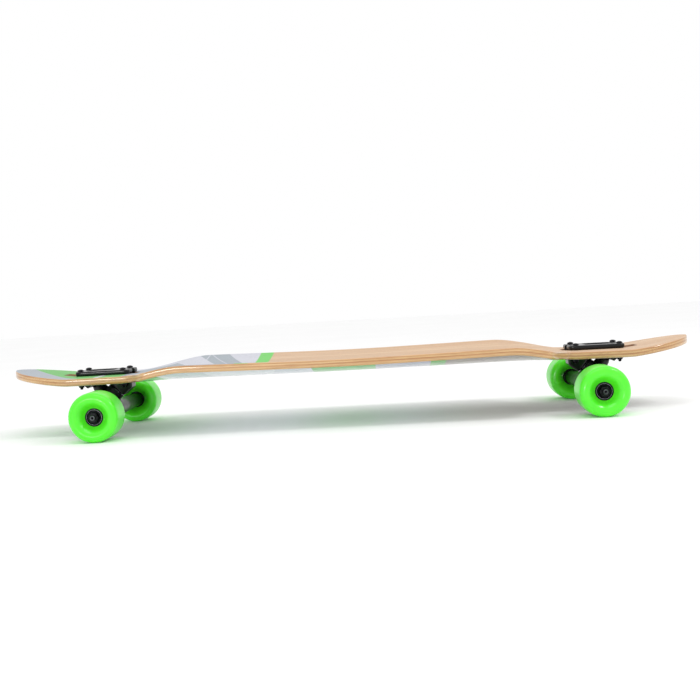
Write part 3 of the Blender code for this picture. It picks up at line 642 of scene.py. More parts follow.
def baseplate_mesh():
    where, pin, steer = truck_frame("front"), kingpin_frame("front"), steer_frame("front")
    side = where @ Matrix.Rotation(math.pi / 2, 4, "X")
    plate = [(PLATE_INNER, -PLATE_HALF_WIDTH), (PLATE_OUTER, -PLATE_HALF_WIDTH),
             (PLATE_OUTER, PLATE_HALF_WIDTH), (PLATE_INNER, PLATE_HALF_WIDTH)]
    shells = [slab(rounded(plate, PLATE_CORNER), PLATE_BOTTOM, PLATE_TOP, where, PLATE_CHAMFER)]
    root = PLATE_BOTTOM + PLATE_THICKNESS * 0.4
    low, high = KINGPIN_AT - LEG_SIDE, KINGPIN_AT + LEG_SIDE
    foot, heel = side_view(low, LEG_END), side_view(high, LEG_END)
    rise = (low - LEG_INNER * math.cos(STEER_ANGLE)) / math.sin(STEER_ANGLE)
    leg = [(LEG_INNER, root), (LEG_INNER, rise), foot, heel, (heel[0] + 0.002, root)]
    shells.append(slab(rounded(leg, CAST_CORNER, 3), -LEG_HALF_WIDTH, LEG_HALF_WIDTH, side,
                       CAST_CHAMFER))
    inner, outer = side_view(CUP_FACE, HOUSING_SIDE), side_view(CUP_FACE, -HOUSING_SIDE)
    housing = [(inner[0] - 0.001, root), inner, outer, (outer[0] + 0.0095, outer[1] + 0.009),
               (outer[0] + 0.012, root)]
    shells.append(slab(rounded(housing, CAST_CORNER, 3), -HOUSING_HALF_WIDTH, HOUSING_HALF_WIDTH,
                       side, CAST_CHAMFER))
    cup = NOSE_PIN_RADIUS + CUP_WALL + 2 * GAP
    cup_floor = CUP_FACE + CUP_DEPTH + GAP
    bores = [(steer, [(0, CUP_FACE - CLEAR), (cup, CUP_FACE - CLEAR), (cup, cup_floor), (0, cup_floor)])]
    hole, pocket, reach = KINGPIN_RADIUS + GAP, HEAD_POCKET_RADIUS, KINGPIN_SEAT + 0.03
    bores.append((pin, [(0, LEG_END - 0.008), (hole, LEG_END - 0.008), (hole, KINGPIN_SEAT),
                        (pocket, KINGPIN_SEAT), (pocket, reach), (0, reach)]))
    bore = BOLT_RADIUS + GAP
    for spot in bolt_frames("front"):
        bores.append((spot, [(0, PLATE_BOTTOM - CLEAR), (bore, PLATE_BOTTOM - CLEAR),
                             (bore, PLATE_TOP + CLEAR), (0, PLATE_TOP + CLEAR)]))
    cuts = [mesh_of("bore", turned(outline, spot, 48)) for spot, outline in bores]
    recess = [(0, -RECESS_HALF_WIDTH), (RECESS_LENGTH, -RECESS_HALF_WIDTH),
              (RECESS_LENGTH, RECESS_HALF_WIDTH), (0, RECESS_HALF_WIDTH)]
    cuts.append(mesh_of("recess", slab(rounded(recess, RECESS_CORNER), PLATE_TOP - RECESS_DEPTH,
                                       PLATE_TOP + CLEAR, where)))
    return grown("baseplate", shells, PLATE_VOXEL, 6, cuts)


baseplate = baseplate_mesh()
for end in ENDS:
    place(baseplate, "truck_baseplate_" + end, home(end), "board", "black_cast_alloy",
          "baseplate_" + end)

# ---- pivot cups -----------------------------------------------------------------------------
# A pivot cup is a small black nylon thimble pressed into the baseplate's housing.  The hanger's
# round nose turns in it, so its mouth is rounded and its floor is flat.


def nylon_finish():
    material, tree, shader = finish("black_nylon", Specular_IOR_Level=0.2)
    skin = noise(tree, (700.0, 700.0, 700.0), 2.0)
    cloud = noise(tree, (90.0, 90.0, 90.0), 4.0)
    tree.links.new(lay(tree, between(tree, cloud, 0.0, 1.0), tint(12, 12, 13), tint(22, 22, 24)),
                   shader.inputs["Base Color"])
    tree.links.new(between(tree, cloud, 0.38, 0.55), shader.inputs["Roughness"])
    relief(tree, shader, skin, 0.00004)
    return material


NYLON = nylon_finish()


def with_finish(mesh, coat):
    mesh.materials.append(coat)
    return mesh


def pivot_cup_mesh():
    bore = NOSE_PIN_RADIUS + GAP
    outer = bore + CUP_WALL
    low, high = CUP_FACE + GAP, CUP_FACE + CUP_DEPTH
    floor, lip = high - 0.0012, 0.0007
    outline = [(0, floor), (bore - 0.0015, floor), (bore - 0.0004, floor - 0.0004),
               (bore, floor - 0.0015), (bore, low + lip), (bore + 0.3 * lip, low + 0.3 * lip),
               (bore + lip, low),
               (outer - lip, low), (outer - 0.3 * lip, low + 0.3 * lip), (outer, low + lip),
               (outer, high), (0, high)]
    return with_finish(mesh_of("pivot_cup", turned(outline)), NYLON)


cup = pivot_cup_mesh()
for end in ENDS:
    place(cup, "nylon_pivot_cup_" + end, steer_frame(end), "board", "black_nylon", "pivot_cup_" + end)

# ---- kingpins and their nuts ----------------------------------------------------------------
# A kingpin is a forged steel bolt with a hexagon head, blackened, that hangs from its pocket in
# the baseplate.  Its rolled thread takes a lock nut, which squeezes the two bushings.


def steel_finish(name, dark, light, smooth, rough, scratch=260.0):
    """Plated or blackened steel: fine turning marks and patches where it has rubbed."""
    material, tree, shader = finish(name, Metallic=1.0)
    patches = noise(tree, (scratch, scratch, scratch), 5.0, 0.7)
    turning = noise(tree, (80.0, 80.0, 5200.0), 2.0, 0.5)
    colour = lay(tree, between(tree, patches, 0.0, 1.0), dark, light)
    tree.links.new(colour, shader.inputs["Base Color"])
    tree.links.new(between(tree, patches, smooth, rough), shader.inputs["Roughness"])
    relief(tree, shader, turning, 0.000012)
    return material


BLACK_STEEL = steel_finish("blackened_steel", tint(24, 24, 26), tint(52, 52, 55), 0.26, 0.42)
ZINC = steel_finish("zinc_plated_steel", tint(138, 140, 144), tint(184, 186, 190), 0.20, 0.36)
NUT_SIDES = 48
THREAD_SIDES = 24


def thread(radius, pitch, low, high, depth=None):
    """A real helical thread as points and faces, its crest at the radius."""
    depth = depth or pitch * 0.5
    rings = max(int((high - low) / pitch * 6), 2)
    points, faces = [], []
    for i in range(rings + 1):
        height = low + (high - low) * i / rings
        end_taper = min(1.0, (height - low) / pitch, (high - height) / pitch)
        for k in range(THREAD_SIDES):
            turn = (height / pitch - k / THREAD_SIDES) % 1.0
            reach = radius - depth * abs(2 * turn - 1) - depth * 0.6 * (1 - end_taper)
            angle = 2 * math.pi * k / THREAD_SIDES
            points.append((reach * math.cos(angle), reach * math.sin(angle), height))
    for base in range(0, rings * THREAD_SIDES, THREAD_SIDES):
        for k in range(THREAD_SIDES):
            j = (k + 1) % THREAD_SIDES
            faces.append((base + k, base + j, base + THREAD_SIDES + j, base + THREAD_SIDES + k))
    faces.append(tuple(range(THREAD_SIDES)))
    faces.append(tuple(range(len(points) - THREAD_SIDES, len(points))))
    return points, faces


def hexagon(flats, bore, low, high):
    """Outline of a bored hexagon whose corners are turned back at its faces."""
    half, soft = flats / 2, 0.0004
    corner = half / math.cos(math.pi / 6)
    fall = (corner - half) * 0.62
    outer = []
    for share in (0.0, 0.35, 0.7, 1.0):
        radius = half * 0.97 + (corner - half * 0.97) * share
        outer.append((radius, fall * share, half))
    outline = [(bore + soft, low), *((r, low + h, f) for r, h, f in outer)]
    outline += [*((r, high - h, f) for r, h, f in reversed(outer)), (bore + soft, high)]
    return outline + [(bore, high - soft), (bore, low + soft)]


def lock_nut(name, flats, bore, low, high, coat):
    """A lock nut, facing up: hexagon, rolled-in collar and the nylon ring inside it."""
    shoulder = low + (high - low) * 0.70
    collar = flats / 2 * 0.88
    body = hexagon(flats, bore, low, shoulder)
    ring_low, ring_in = shoulder - 0.0004, bore + 0.0011
    cap = [(bore + 0.0003, ring_low), (collar, ring_low), (collar, high - 0.0006),
           (collar - 0.0002, high - 0.0002), (collar - 0.0007, high), (ring_in + 0.0003, high),
           (ring_in, high - 0.0003), (ring_in, high - 0.0007), (bore + 0.0003, high - 0.0007)]
    nut = mesh_of(name, turned(body, sides=NUT_SIDES), turned(cap, sides=NUT_SIDES), crease=28.0)
    return with_finish(nut, coat)


PIN_HEAD_FLATS, PIN_HEAD_HEIGHT = 0.0142, 0.006
PIN_TIP, PIN_SHANK_END = -0.0300, -0.0150


def kingpin_mesh():
    head_low = KINGPIN_SEAT + GAP
    head_high = head_low + PIN_HEAD_HEIGHT
    plain_low = PIN_SHANK_END
    half = PIN_HEAD_FLATS / 2
    corner = half / math.cos(math.pi / 6)
    shaft = [(0, plain_low - 0.002), (KINGPIN_RADIUS - 0.0008, plain_low - 0.002),
             (KINGPIN_RADIUS - 0.0003, plain_low), (KINGPIN_RADIUS, plain_low + 0.0006),
             (KINGPIN_RADIUS, head_low + 0.0005), (0, head_low + 0.0005)]
    head = [(0, head_low), (half * 0.96, head_low), (half * 0.96, head_low + 0.0004),
            (corner, head_low + 0.0004, half), (corner, head_high - 0.0011, half),
            (corner * 0.975, head_high - 0.0007, half), (corner * 0.94, head_high - 0.0003, half),
            (half * 0.97, head_high), (half * 0.62, head_high), (half * 0.58, head_high - 0.0003),
            (0, head_high - 0.0003)]
    screw = thread(KINGPIN_RADIUS - 0.0002, 0.0013, PIN_TIP, plain_low - 0.0004)
    mesh = mesh_of("kingpin", turned(shaft, sides=48), turned(head, sides=48), screw)
    return with_finish(mesh, BLACK_STEEL)


kingpin = kingpin_mesh()
KINGPIN_NUT_FACE, KINGPIN_NUT_FLATS, KINGPIN_NUT_HEIGHT = -0.0184, 0.0143, 0.0076
kingpin_nut = lock_nut("kingpin_nut", KINGPIN_NUT_FLATS, KINGPIN_RADIUS + 0.0001, 0.0,
                       KINGPIN_NUT_HEIGHT, BLACK_STEEL)
for end in ENDS:
    place(kingpin, "kingpin_bolt_" + end, kingpin_frame(end), "board", "black_steel", "kingpin_" + end)
    under = Matrix.Translation((0, 0, KINGPIN_NUT_FACE)) @ Matrix.Rotation(math.pi, 4, "X")
    place(kingpin_nut, "kingpin_lock_nut_" + end, kingpin_frame(end) @ under, "board", "black_steel",
          "kingpin_nut_" + end)

# ---- bushings and cup washers ---------------------------------------------------------------
# Two cast urethane bushings, a barrel above the hanger's ring and a cone below it, let the truck
# lean and spring it back.  Zinc-plated steel washers with turned rims hold their outer ends.
BUSHING_RADIUS, BUSHING_NOSE_RADIUS = 0.0132, 0.0105
BOARD_BUSHING = (0.0043, 0.0183)
ROAD_BUSHING = (-0.0163, -0.0043)
BOARD_WASHER, ROAD_WASHER = 0.0186, -0.0181
WASHER_RADIUS, WASHER_THICKNESS = 0.013, 0.0015


def bushing_finish():
    material, tree, shader = finish("black_bushing_urethane", Specular_IOR_Level=0.2)
    cloud = noise(tree, (160.0, 160.0, 160.0), 4.0, 0.6)
    tree.links.new(lay(tree, between(tree, cloud, 0.0, 1.0), tint(16, 16, 17), tint(30, 30, 32)),
                   shader.inputs["Base Color"])
    tree.links.new(between(tree, cloud, 0.48, 0.66), shader.inputs["Roughness"])
    relief(tree, shader, cloud, 0.00008)
    return material


BUSHING = bushing_finish()


def bushing_mesh(name, low, high, low_radius, high_radius, belly):
    """A moulded ring with rounded shoulders and a slight belly."""
    bore, soft = KINGPIN_RADIUS + GAP, 0.0014
    outline = [(bore, low), (bore, high)]
    for k in range(7):
        a = math.radians(90 - 15 * k)
        outline.append((high_radius - soft + soft * math.cos(a), high - soft + soft * math.sin(a)))
    for k in range(1, 8):
        share = k / 8
        radius = high_radius + (low_radius - high_radius) * share + belly * math.sin(math.pi * share)
        outline.append((radius, high - soft + (low - high + 2 * soft) * share))
    for k in range(7):
        a = math.radians(15 * k)
        outline.append((low_radius - soft + soft * math.cos(a), low + soft - soft * math.sin(a)))
    return with_finish(mesh_of(name, turned(outline)), BUSHING)


def cup_washer_mesh():
    """Flat in the middle, with the rim turned up and rounded."""
    bore = KINGPIN_RADIUS + GAP
    rim, thick = WASHER_RADIUS, 0.0010
    outline = [(bore, thick), (bore, 0.0), (rim - 0.0026, 0.0), (rim - 0.0012, 0.0002),
               (rim - 0.0004, 0.0007), (rim, 0.0013), (rim - 0.0003, 0.00155),
               (rim - 0.0008, 0.0015), (rim - 0.0013, 0.0012), (rim - 0.0020, thick + 0.00005),
               (rim - 0.0027, thick)]
    return with_finish(mesh_of("cup_washer", turned(outline)), ZINC)


washer = cup_washer_mesh()
for end in ENDS:
    pin = kingpin_frame(end)
    for part, span, radii, belly in (("boardside", BOARD_BUSHING, (0.0131, 0.0131), 0.0),
                                     ("roadside", ROAD_BUSHING, (BUSHING_NOSE_RADIUS, 0.0128), 0.0002)):
        soft = bpy.data.objects.new(f"soft_bushing_{part}_{end}",
                                    bushing_mesh("bushing_" + part, *span, *radii, belly))
        bpy.context.scene.collection.objects.link(soft)
        soft.matrix_world = pin
        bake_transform(soft)
        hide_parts(f"bushing_{part}_{end}")
    upper = Matrix.Translation((0, 0, BOARD_WASHER + WASHER_THICKNESS))
    upper = upper @ Matrix.Rotation(math.pi, 4, "X")
    place(washer, "cup_washer_boardside_" + end, pin @ upper, "board", "zinc_steel",
          "washer_boardside_" + end)
    place(washer, "cup_washer_roadside_" + end, pin @ Matrix.Translation((0, 0, ROAD_WASHER)), "board",
          "zinc_steel", "washer_roadside_" + end)

# ---- hangers --------------------------------------------------------------------------------
# The hanger is a second aluminium casting in the same black paint.  Its beam carries the axle, a
# ring sits between the bushings, and a tapered arm ends in the round nose of the pivot.
HANGER_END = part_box("hanger_front")[1].y
BEAM_RADIUS, BEAM_END_RADIUS = 0.012, 0.0108
BEAM_THICK_END, BEAM_TAPER_END = 0.045, 0.085
RING_RADIUS, RING_HALF, RING_BORE, SEAT_DEPTH = 0.017, 0.006, 0.008, 0.002
WING_HALF_SPAN, WING_HALF_THICKNESS = 0.050, 0.005
ARM_ROOT, ARM_ROOT_RADIUS, ARM_END_RADIUS = 0.033, 0.0108, 0.0088
AXLE_RADIUS = 0.004
HANGER_VOXEL = 0.0008
axle_turn = Matrix.Rotation(-math.pi / 2, 4, "X")


def hanger_mesh():
    steer, pin = steer_frame("front"), kingpin_frame("front")
    axle = truck_frame("front") @ axle_turn
    wing = [(-0.004, -WING_HALF_SPAN), (0.006, -WING_HALF_SPAN * 0.9), (0.013, -0.026),
            (KINGPIN_AT + 0.002, -RING_RADIUS - 0.0005), (0.031, -0.0125), (0.037, -0.0095)]
    wing += [(x, -y) for x, y in reversed(wing)]
    flat = steer @ Matrix.Rotation(-math.pi / 2, 4, "Y")
    shells = [slab(rounded(wing, 0.003, 3), -WING_HALF_THICKNESS, WING_HALF_THICKNESS, flat)]
    beam = [(0, -HANGER_END), (BEAM_END_RADIUS - 0.001, -HANGER_END),
            (BEAM_END_RADIUS, -HANGER_END + 0.001), (BEAM_END_RADIUS, -BEAM_TAPER_END),
            (BEAM_RADIUS, -BEAM_THICK_END)]
    beam += [(r, -h) for r, h in reversed(beam)]
    shells.append(turned(beam, axle))
    shells.append(turned([(0, -RING_HALF), (RING_RADIUS, -RING_HALF), (RING_RADIUS, RING_HALF),
                          (0, RING_HALF)], pin))
    tip, ball = CUP_FACE + CUP_DEPTH - 0.0016, NOSE_PIN_RADIUS
    arm = [(0, ARM_ROOT), (ARM_ROOT_RADIUS, ARM_ROOT), (ARM_END_RADIUS, CUP_FACE - 0.0055),
           (ball + 0.0004, CUP_FACE - 0.0015), (ball, CUP_FACE - 0.0005)]
    arm += [(ball * math.cos(a), tip - ball * (1 - math.sin(a)))
            for a in (math.radians(9.0 * k) for k in range(2, 10))]
    arm.append((0, tip))
    shells.append(turned(arm, steer))
    seat, floor, past = BUSHING_RADIUS + 0.0006, RING_HALF - SEAT_DEPTH, 0.03
    bore, through = AXLE_RADIUS + GAP, HANGER_END + CLEAR
    cuts = [(pin, [(0, floor), (seat, floor), (seat, past), (0, past)]),
            (pin, [(0, -past), (seat, -past), (seat, -floor), (0, -floor)]),
            (pin, [(0, -past), (RING_BORE, -past), (RING_BORE, past), (0, past)]),
            (axle, [(0, -through), (bore, -through), (bore, through), (0, through)])]
    tools = [mesh_of("bore", turned(outline, where, 48)) for where, outline in cuts]
    return grown("hanger", shells, HANGER_VOXEL, 8, tools)


hanger = hanger_mesh()
for end in ENDS:
    place(hanger, "truck_hanger_" + end, home(end), "truck_" + end, "black_cast_alloy", "hanger_" + end)

# ---- axles, speed washers and axle nuts -----------------------------------------------------
# One steel axle is pressed through each hanger and threaded at both ends.  A thin speed washer
# lies each side of the bearings, and a lock nut with a nylon ring holds each wheel on.
AXLE_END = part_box("axle_front")[1].y
NUT_LOW, NUT_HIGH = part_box("axle_nut_front_left")
BEARING_OUTER_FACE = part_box("bearing_outer_front_left")[1].y
BEARING_INNER_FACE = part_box("bearing_inner_front_left")[0].y
DARK_STEEL = steel_finish("dark_axle_steel", tint(26, 27, 29), tint(58, 60, 63), 0.20, 0.38)
CUT_STEEL = steel_finish("turned_axle_tip", tint(66, 67, 70), tint(96, 98, 101), 0.28, 0.42)


def axle_mesh():
    """The axle, with its thread's turned ends left bright."""
    plain, tip, dish = NUT_LOW.y - 0.001, AXLE_END - 0.0012, AXLE_END - 0.0004
    shaft = [(0, -plain), (AXLE_RADIUS - 0.0003, -plain), (AXLE_RADIUS, -plain + 0.0003)]
    shaft += [(r, -h) for r, h in reversed(shaft)]
    point = [(0, tip), (0.0033, tip), (0.0033, AXLE_END - 0.0005), (0.0028, AXLE_END),
             (0.0021, AXLE_END), (0.0017, dish), (0, dish)]
    near = [thread(AXLE_RADIUS - 0.00005, 0.00125, plain - 0.0008, dish, 0.0005),
            turned(point, sides=32)]
    far = [([(x, y, -z) for x, y, z in points], faces) for points, faces in near]
    mesh = with_finish(mesh_of("axle", turned(shaft, sides=48), *near, *far), DARK_STEEL)
    mesh.materials.append(CUT_STEEL)
    for face in mesh.polygons:
        face.material_index = int(abs(face.center.z) > dish - 0.00009)
    return mesh


def washer_ring(name, inner, outer, thick, soft, coat):
    """A flat ring with its edges broken, from z = 0 up."""
    outline = [(inner, soft), (inner + soft, 0), (outer - soft, 0), (outer, soft),
               (outer, thick - soft), (outer - soft, thick), (inner + soft, thick),
               (inner, thick - soft)]
    return with_finish(mesh_of(name, turned(outline)), coat)


def wheel_side(end, side):
    """At a wheel's middle, with Z along the axle away from the board."""
    across = 1 if side == "left" else -1
    spot = Matrix.Translation(joints[f"spin_{end}_{side}"]["pos_m"])
    return spot @ Matrix.Rotation(-across * math.pi / 2, 4, "X")


TRACK_HALF = joints["spin_front_left"]["pos_m"][1]
axle = axle_mesh()
SPEED_WASHER_RADIUS, SPEED_WASHER_THICKNESS, SPEED_WASHER_PLAY = 0.0062, 0.0010, 0.00015
WASHER_SPOTS = {"inner": BEARING_INNER_FACE - SPEED_WASHER_THICKNESS - SPEED_WASHER_PLAY,
                "outer": BEARING_OUTER_FACE + SPEED_WASHER_PLAY}
speed_washer = washer_ring("speed_washer", AXLE_RADIUS + 0.0001, SPEED_WASHER_RADIUS,
                           SPEED_WASHER_THICKNESS, 0.00015, ZINC)
NUT_FLATS = (NUT_HIGH.x - NUT_LOW.x) * math.cos(math.pi / 6)
axle_nut = lock_nut("axle_nut", NUT_FLATS, AXLE_RADIUS + 0.0001, 0.0, NUT_HIGH.y - NUT_LOW.y,
                    BLACK_STEEL)
for end in ENDS:
    place(axle, "steel_axle_" + end, truck_frame(end) @ axle_turn, "truck_" + end, "zinc_steel",
          "axle_" + end)
    for side in SIDES:
        hub = wheel_side(end, side)
        for where, height in WASHER_SPOTS.items():
            place(speed_washer, f"speed_washer_{where}_{end}_{side}",
                  hub @ Matrix.Translation((0, 0, height - TRACK_HALF)), "truck_" + end, "zinc_steel")
        nut_spot = hub @ Matrix.Translation((0, 0, NUT_LOW.y - TRACK_HALF))
        place(axle_nut, f"axle_lock_nut_{end}_{side}", nut_spot, "truck_" + end, "zinc_steel",
              f"axle_nut_{end}_{side}")

# ---- bearings -------------------------------------------------------------------------------
# Two 22 mm ball bearings run in each wheel.  A bearing is an inner and an outer steel race with
# grooves, seven balls between them and a dark pressed shield on each face; a spacer tube
# keeps the two inner races apart.
BEARING_RADIUS, BEARING_WIDTH = 0.011, 0.007
RACE_INNER, RACE_OUTER, RACE_SHELF = 0.0059, 0.0095, 0.0103
BALL_RADIUS, BALL_CIRCLE, BALLS = 0.00195, 0.0077, 7
SHIELD = steel_finish("dark_shield", tint(16, 17, 18), tint(34, 35, 37), 0.24, 0.38, 420.0)
RACE = steel_finish("ground_race_steel", tint(120, 122, 126), tint(164, 166, 170), 0.14, 0.26, 420.0)


def race_mesh(name, wall, groove_side, shelf):
    """A race from its plain radius to its grooved radius, with a shelf for the shield's rim."""
    half, sunk, soft = BEARING_WIDTH / 2, 0.0007, 0.0003
    step = 1 if groove_side > wall else -1
    side = [(wall, half - soft), (wall + step * soft, half), (shelf - step * soft / 2, half),
            (shelf, half - soft / 2), (shelf, half - sunk), (groove_side, half - sunk)]
    outline = list(side)
    reach = BALL_RADIUS * 1.03
    lip = math.sqrt(reach ** 2 - (BALL_CIRCLE - groove_side) ** 2)
    start = math.asin(lip / reach)
    for k in range(9):
        a = start - 2 * start * k / 8
        outline.append((BALL_CIRCLE - step * reach * math.cos(a), reach * math.sin(a)))
    outline += [(r, -h) for r, h in reversed(side)]
    return with_finish(mesh_of(name, turned(outline)), RACE)


def shield_mesh():
    """A thin pressed ring with a rolled rim and a shallow step, one near each face."""
    half, sheet = BEARING_WIDTH / 2 - 0.00012, 0.00025
    low, high = RACE_INNER + 0.0002, RACE_SHELF - 0.00005
    upper = [(low, half - 0.0003), (low + 0.0004, half - 0.0001), (low + 0.0011, half - 0.0001),
             (low + 0.0014, half - 0.00035), (high - 0.0007, half - 0.00035),
             (high - 0.0004, half - 0.0001), (high, half)]
    outline = upper + [(r, h - sheet) for r, h in reversed(upper)]
    other = [(r, -h) for r, h in outline]
    return with_finish(mesh_of("shield", turned(outline), turned(other)), SHIELD)


def ball_set_mesh():
    bm = bmesh.new()
    for k in range(BALLS):
        a = 2 * math.pi * k / BALLS
        spot = Matrix.Translation((BALL_CIRCLE * math.cos(a), BALL_CIRCLE * math.sin(a), 0))
        bmesh.ops.create_icosphere(bm, subdivisions=3, radius=BALL_RADIUS, matrix=spot)
    mesh = bpy.data.meshes.new("ball_set")
    bm.to_mesh(mesh)
    bm.free()
    mesh.shade_smooth()
    return with_finish(mesh, RACE)


outer_race = race_mesh("outer_race", BEARING_RADIUS, RACE_OUTER, RACE_SHELF)
inner_race = race_mesh("inner_race", AXLE_RADIUS + 0.0001, RACE_INNER, RACE_INNER - 0.0001)
shields = shield_mesh()
balls = ball_set_mesh()
SPACER_LENGTH = BEARING_OUTER_FACE - BEARING_INNER_FACE - 2 * BEARING_WIDTH - 0.0001
spacer = washer_ring("spacer", AXLE_RADIUS + 0.0001, 0.0053, SPACER_LENGTH, 0.0002, ZINC)
for end in ENDS:
    for side in SIDES:
        hub, wheel_body = wheel_side(end, side), f"wheel_body_{end}_{side}"
        faces = {"inner": BEARING_INNER_FACE, "outer": BEARING_OUTER_FACE - BEARING_WIDTH}
        for which, low in faces.items():
            middle = hub @ Matrix.Translation((0, 0, low + BEARING_WIDTH / 2 - TRACK_HALF))
            tag = f"{which}_{end}_{side}"
            place(outer_race, "outer_race_" + tag, middle, wheel_body, "dark_bearing_steel",
                  "bearing_" + tag)
            place(shields, "shields_" + tag, middle, wheel_body, "dark_bearing_steel")
            place(balls, "balls_" + tag, middle, wheel_body, "dark_bearing_steel")
            place(inner_race, "inner_race_" + tag, middle, "truck_" + end, "dark_bearing_steel")
        gap_low = BEARING_INNER_FACE + BEARING_WIDTH + 0.00005 - TRACK_HALF
        place(spacer, f"bearing_spacer_{end}_{side}", hub @ Matrix.Translation((0, 0, gap_low)),
              "truck_" + end, "zinc_steel")

# ---- wheel cores ----------------------------------------------------------------------------
# Each wheel is cast round a hard black nylon core, which holds the two bearings against its
# shoulder.  Its thin rim shows as a dark ring round the bearing.
CORE_RADIUS, CORE_RIB_RADIUS, CORE_SHOULDER_RADIUS = 0.0127, 0.0155, 0.0085
CORE_OUT = BEARING_OUTER_FACE - TRACK_HALF
CORE_IN = BEARING_INNER_FACE - TRACK_HALF


def core_mesh():
    bore, deep, soft = BEARING_RADIUS + 0.0001, BEARING_WIDTH + 0.0001, 0.0003
    outline = [(bore, CORE_OUT - soft), (bore + soft, CORE_OUT), (CORE_RADIUS - soft, CORE_OUT),
               (CORE_RADIUS, CORE_OUT - soft), (CORE_RADIUS, CORE_OUT - 0.0053),
               (CORE_RIB_RADIUS, CORE_OUT - 0.0073), (CORE_RIB_RADIUS, CORE_IN + 0.0073),
               (CORE_RADIUS, CORE_IN + 0.0053), (CORE_RADIUS, CORE_IN + soft),
               (CORE_RADIUS - soft, CORE_IN),
               (bore + soft, CORE_IN), (bore, CORE_IN + soft), (bore, CORE_IN + deep),
               (CORE_SHOULDER_RADIUS, CORE_IN + deep), (CORE_SHOULDER_RADIUS, CORE_OUT - deep),
               (bore, CORE_OUT - deep)]
    return with_finish(mesh_of("core", turned(outline, sides=72)), NYLON)


core = core_mesh()
for end in ENDS:
    for side in SIDES:
        place(core, f"nylon_core_{end}_{side}", wheel_side(end, side), f"wheel_body_{end}_{side}",
              "black_nylon", f"core_{end}_{side}")

# ---- wheels ---------------------------------------------------------------------------------
# The wheels are lime-green cast urethane, glossy from the mould, with wide round lips and a deep
# dish on both faces.  The running surface is a little duller than the faces.
WHEEL_RADIUS = AXLE.z
WHEEL_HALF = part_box("wheel_front_left")[1].y - TRACK_HALF
LIP_RADIUS, LIP_STEPS = 0.009, 14
# Each dish as radius and depth below the lip, from the lip inward, down to its floor.
FRONT_DISH = ((0.0237, 0.0007), (0.0208, 0.0029), (0.0178, 0.0062))
BACK_DISH = ((0.0237, 0.0009), (0.0208, 0.0036), (0.0178, 0.0076))
FLOOR_RADIUS = 0.0150
WHEEL_SIDES = 128


def urethane_finish():
    material, tree, shader = finish("lime_urethane", Specular_IOR_Level=0.4, Coat_Weight=0.3,
                                    Coat_Roughness=0.10, Subsurface_Weight=0.12, Subsurface_Scale=0.004)
    cloud = noise(tree, (30.0, 30.0, 30.0), 4.0, 0.5)
    colour = lay(tree, between(tree, cloud, 0.0, 1.0), tint(78, 226, 40), tint(90, 236, 50))
    here = add(tree, "SeparateXYZ", {0: add(tree, "TexCoord").outputs["Object"]})
    across = calc(tree, "MULTIPLY", here.outputs[0], here.outputs[0])
    upward = calc(tree, "MULTIPLY", here.outputs[1], here.outputs[1])
    radius = calc(tree, "SQRT", calc(tree, "ADD", across, upward))
    tread = step_at(tree, radius, WHEEL_RADIUS - 0.0006, 0.0004)
    tree.links.new(colour, shader.inputs["Base Color"])
    dull = calc(tree, "ADD", between(tree, cloud, 0.22, 0.28), calc(tree, "MULTIPLY", tread, 0.14))
    tree.links.new(dull, shader.inputs["Roughness"])
    relief(tree, shader, noise(tree, (240.0, 240.0, 240.0), 2.0), 0.00003)
    return material


def smooth_run(knots, steps):
    """Points along a smooth curve through the knots."""
    knots = [Vector(k) for k in knots]
    knots = [2 * knots[0] - knots[1], *knots, 2 * knots[-1] - knots[-2]]
    run = []
    for a, b, c, d in zip(knots, knots[1:], knots[2:], knots[3:]):
        for k in range(steps):
            t = k / steps
            run.append((2 * b + (c - a) * t + (2 * a - 5 * b + 4 * c - d) * t ** 2
                        + (3 * b - a - 3 * c + d) * t ** 3) / 2)
    run.append(knots[-2])
    return [tuple(p) for p in run]


def wheel_mesh():
    seat, rib = CORE_RADIUS + 0.0001, CORE_RIB_RADIUS + 0.0001
    lip = [(WHEEL_RADIUS - LIP_RADIUS * (1 - math.cos(a)), WHEEL_HALF - LIP_RADIUS * (1 - math.sin(a)))
           for a in (math.radians(90.0 * k / LIP_STEPS) for k in range(LIP_STEPS))]
    lip.append((WHEEL_RADIUS - LIP_RADIUS, WHEEL_HALF))
    knots = [lip[-1], *((radius, WHEEL_HALF - deep) for radius, deep in FRONT_DISH),
             (FLOOR_RADIUS, CORE_OUT + 0.0018), (seat, CORE_OUT - 0.0004)]
    face = lip + smooth_run(knots, 5)[1:]
    well = [(seat, CORE_OUT - 0.005), (rib, CORE_OUT - 0.007), (rib, CORE_IN + 0.007),
            (seat, CORE_IN + 0.005)]
    back_knots = [(seat, CORE_IN + 0.0004), (FLOOR_RADIUS, CORE_IN - 0.0026),
                  *((radius, -WHEEL_HALF + deep) for radius, deep in reversed(BACK_DISH)),
                  (lip[-1][0], -WHEEL_HALF)]
    back = smooth_run(back_knots, 5)[:-1] + [(r, -h) for r, h in reversed(lip)]
    mesh = mesh_of("wheel", turned(face + well + back, sides=WHEEL_SIDES))
    return with_finish(mesh, urethane_finish())


wheel = wheel_mesh()
for end in ENDS:
    for side in SIDES:
        place(wheel, f"urethane_wheel_{end}_{side}", wheel_side(end, side), f"wheel_body_{end}_{side}",
              "green_urethane", f"wheel_{end}_{side}")

# ---- mounting bolts and nuts ----------------------------------------------------------------
# Four blackened steel bolts clamp each baseplate to the deck.  Their domed heads take a hexagon
# key, and lock nuts hold them under the deck.
HEAD_RADIUS, HEAD_HEIGHT, HEX_KEY_HALF = 0.0046, 0.0028, 0.0015
MOUNT_NUT_FLATS = 0.0088
BOLT_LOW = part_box("mount_bolt_front_1")[0].z - AXLE.z
MOUNT_NUT_LOW, MOUNT_NUT_HIGH = (corner.z - AXLE.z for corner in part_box("mount_nut_front_1"))


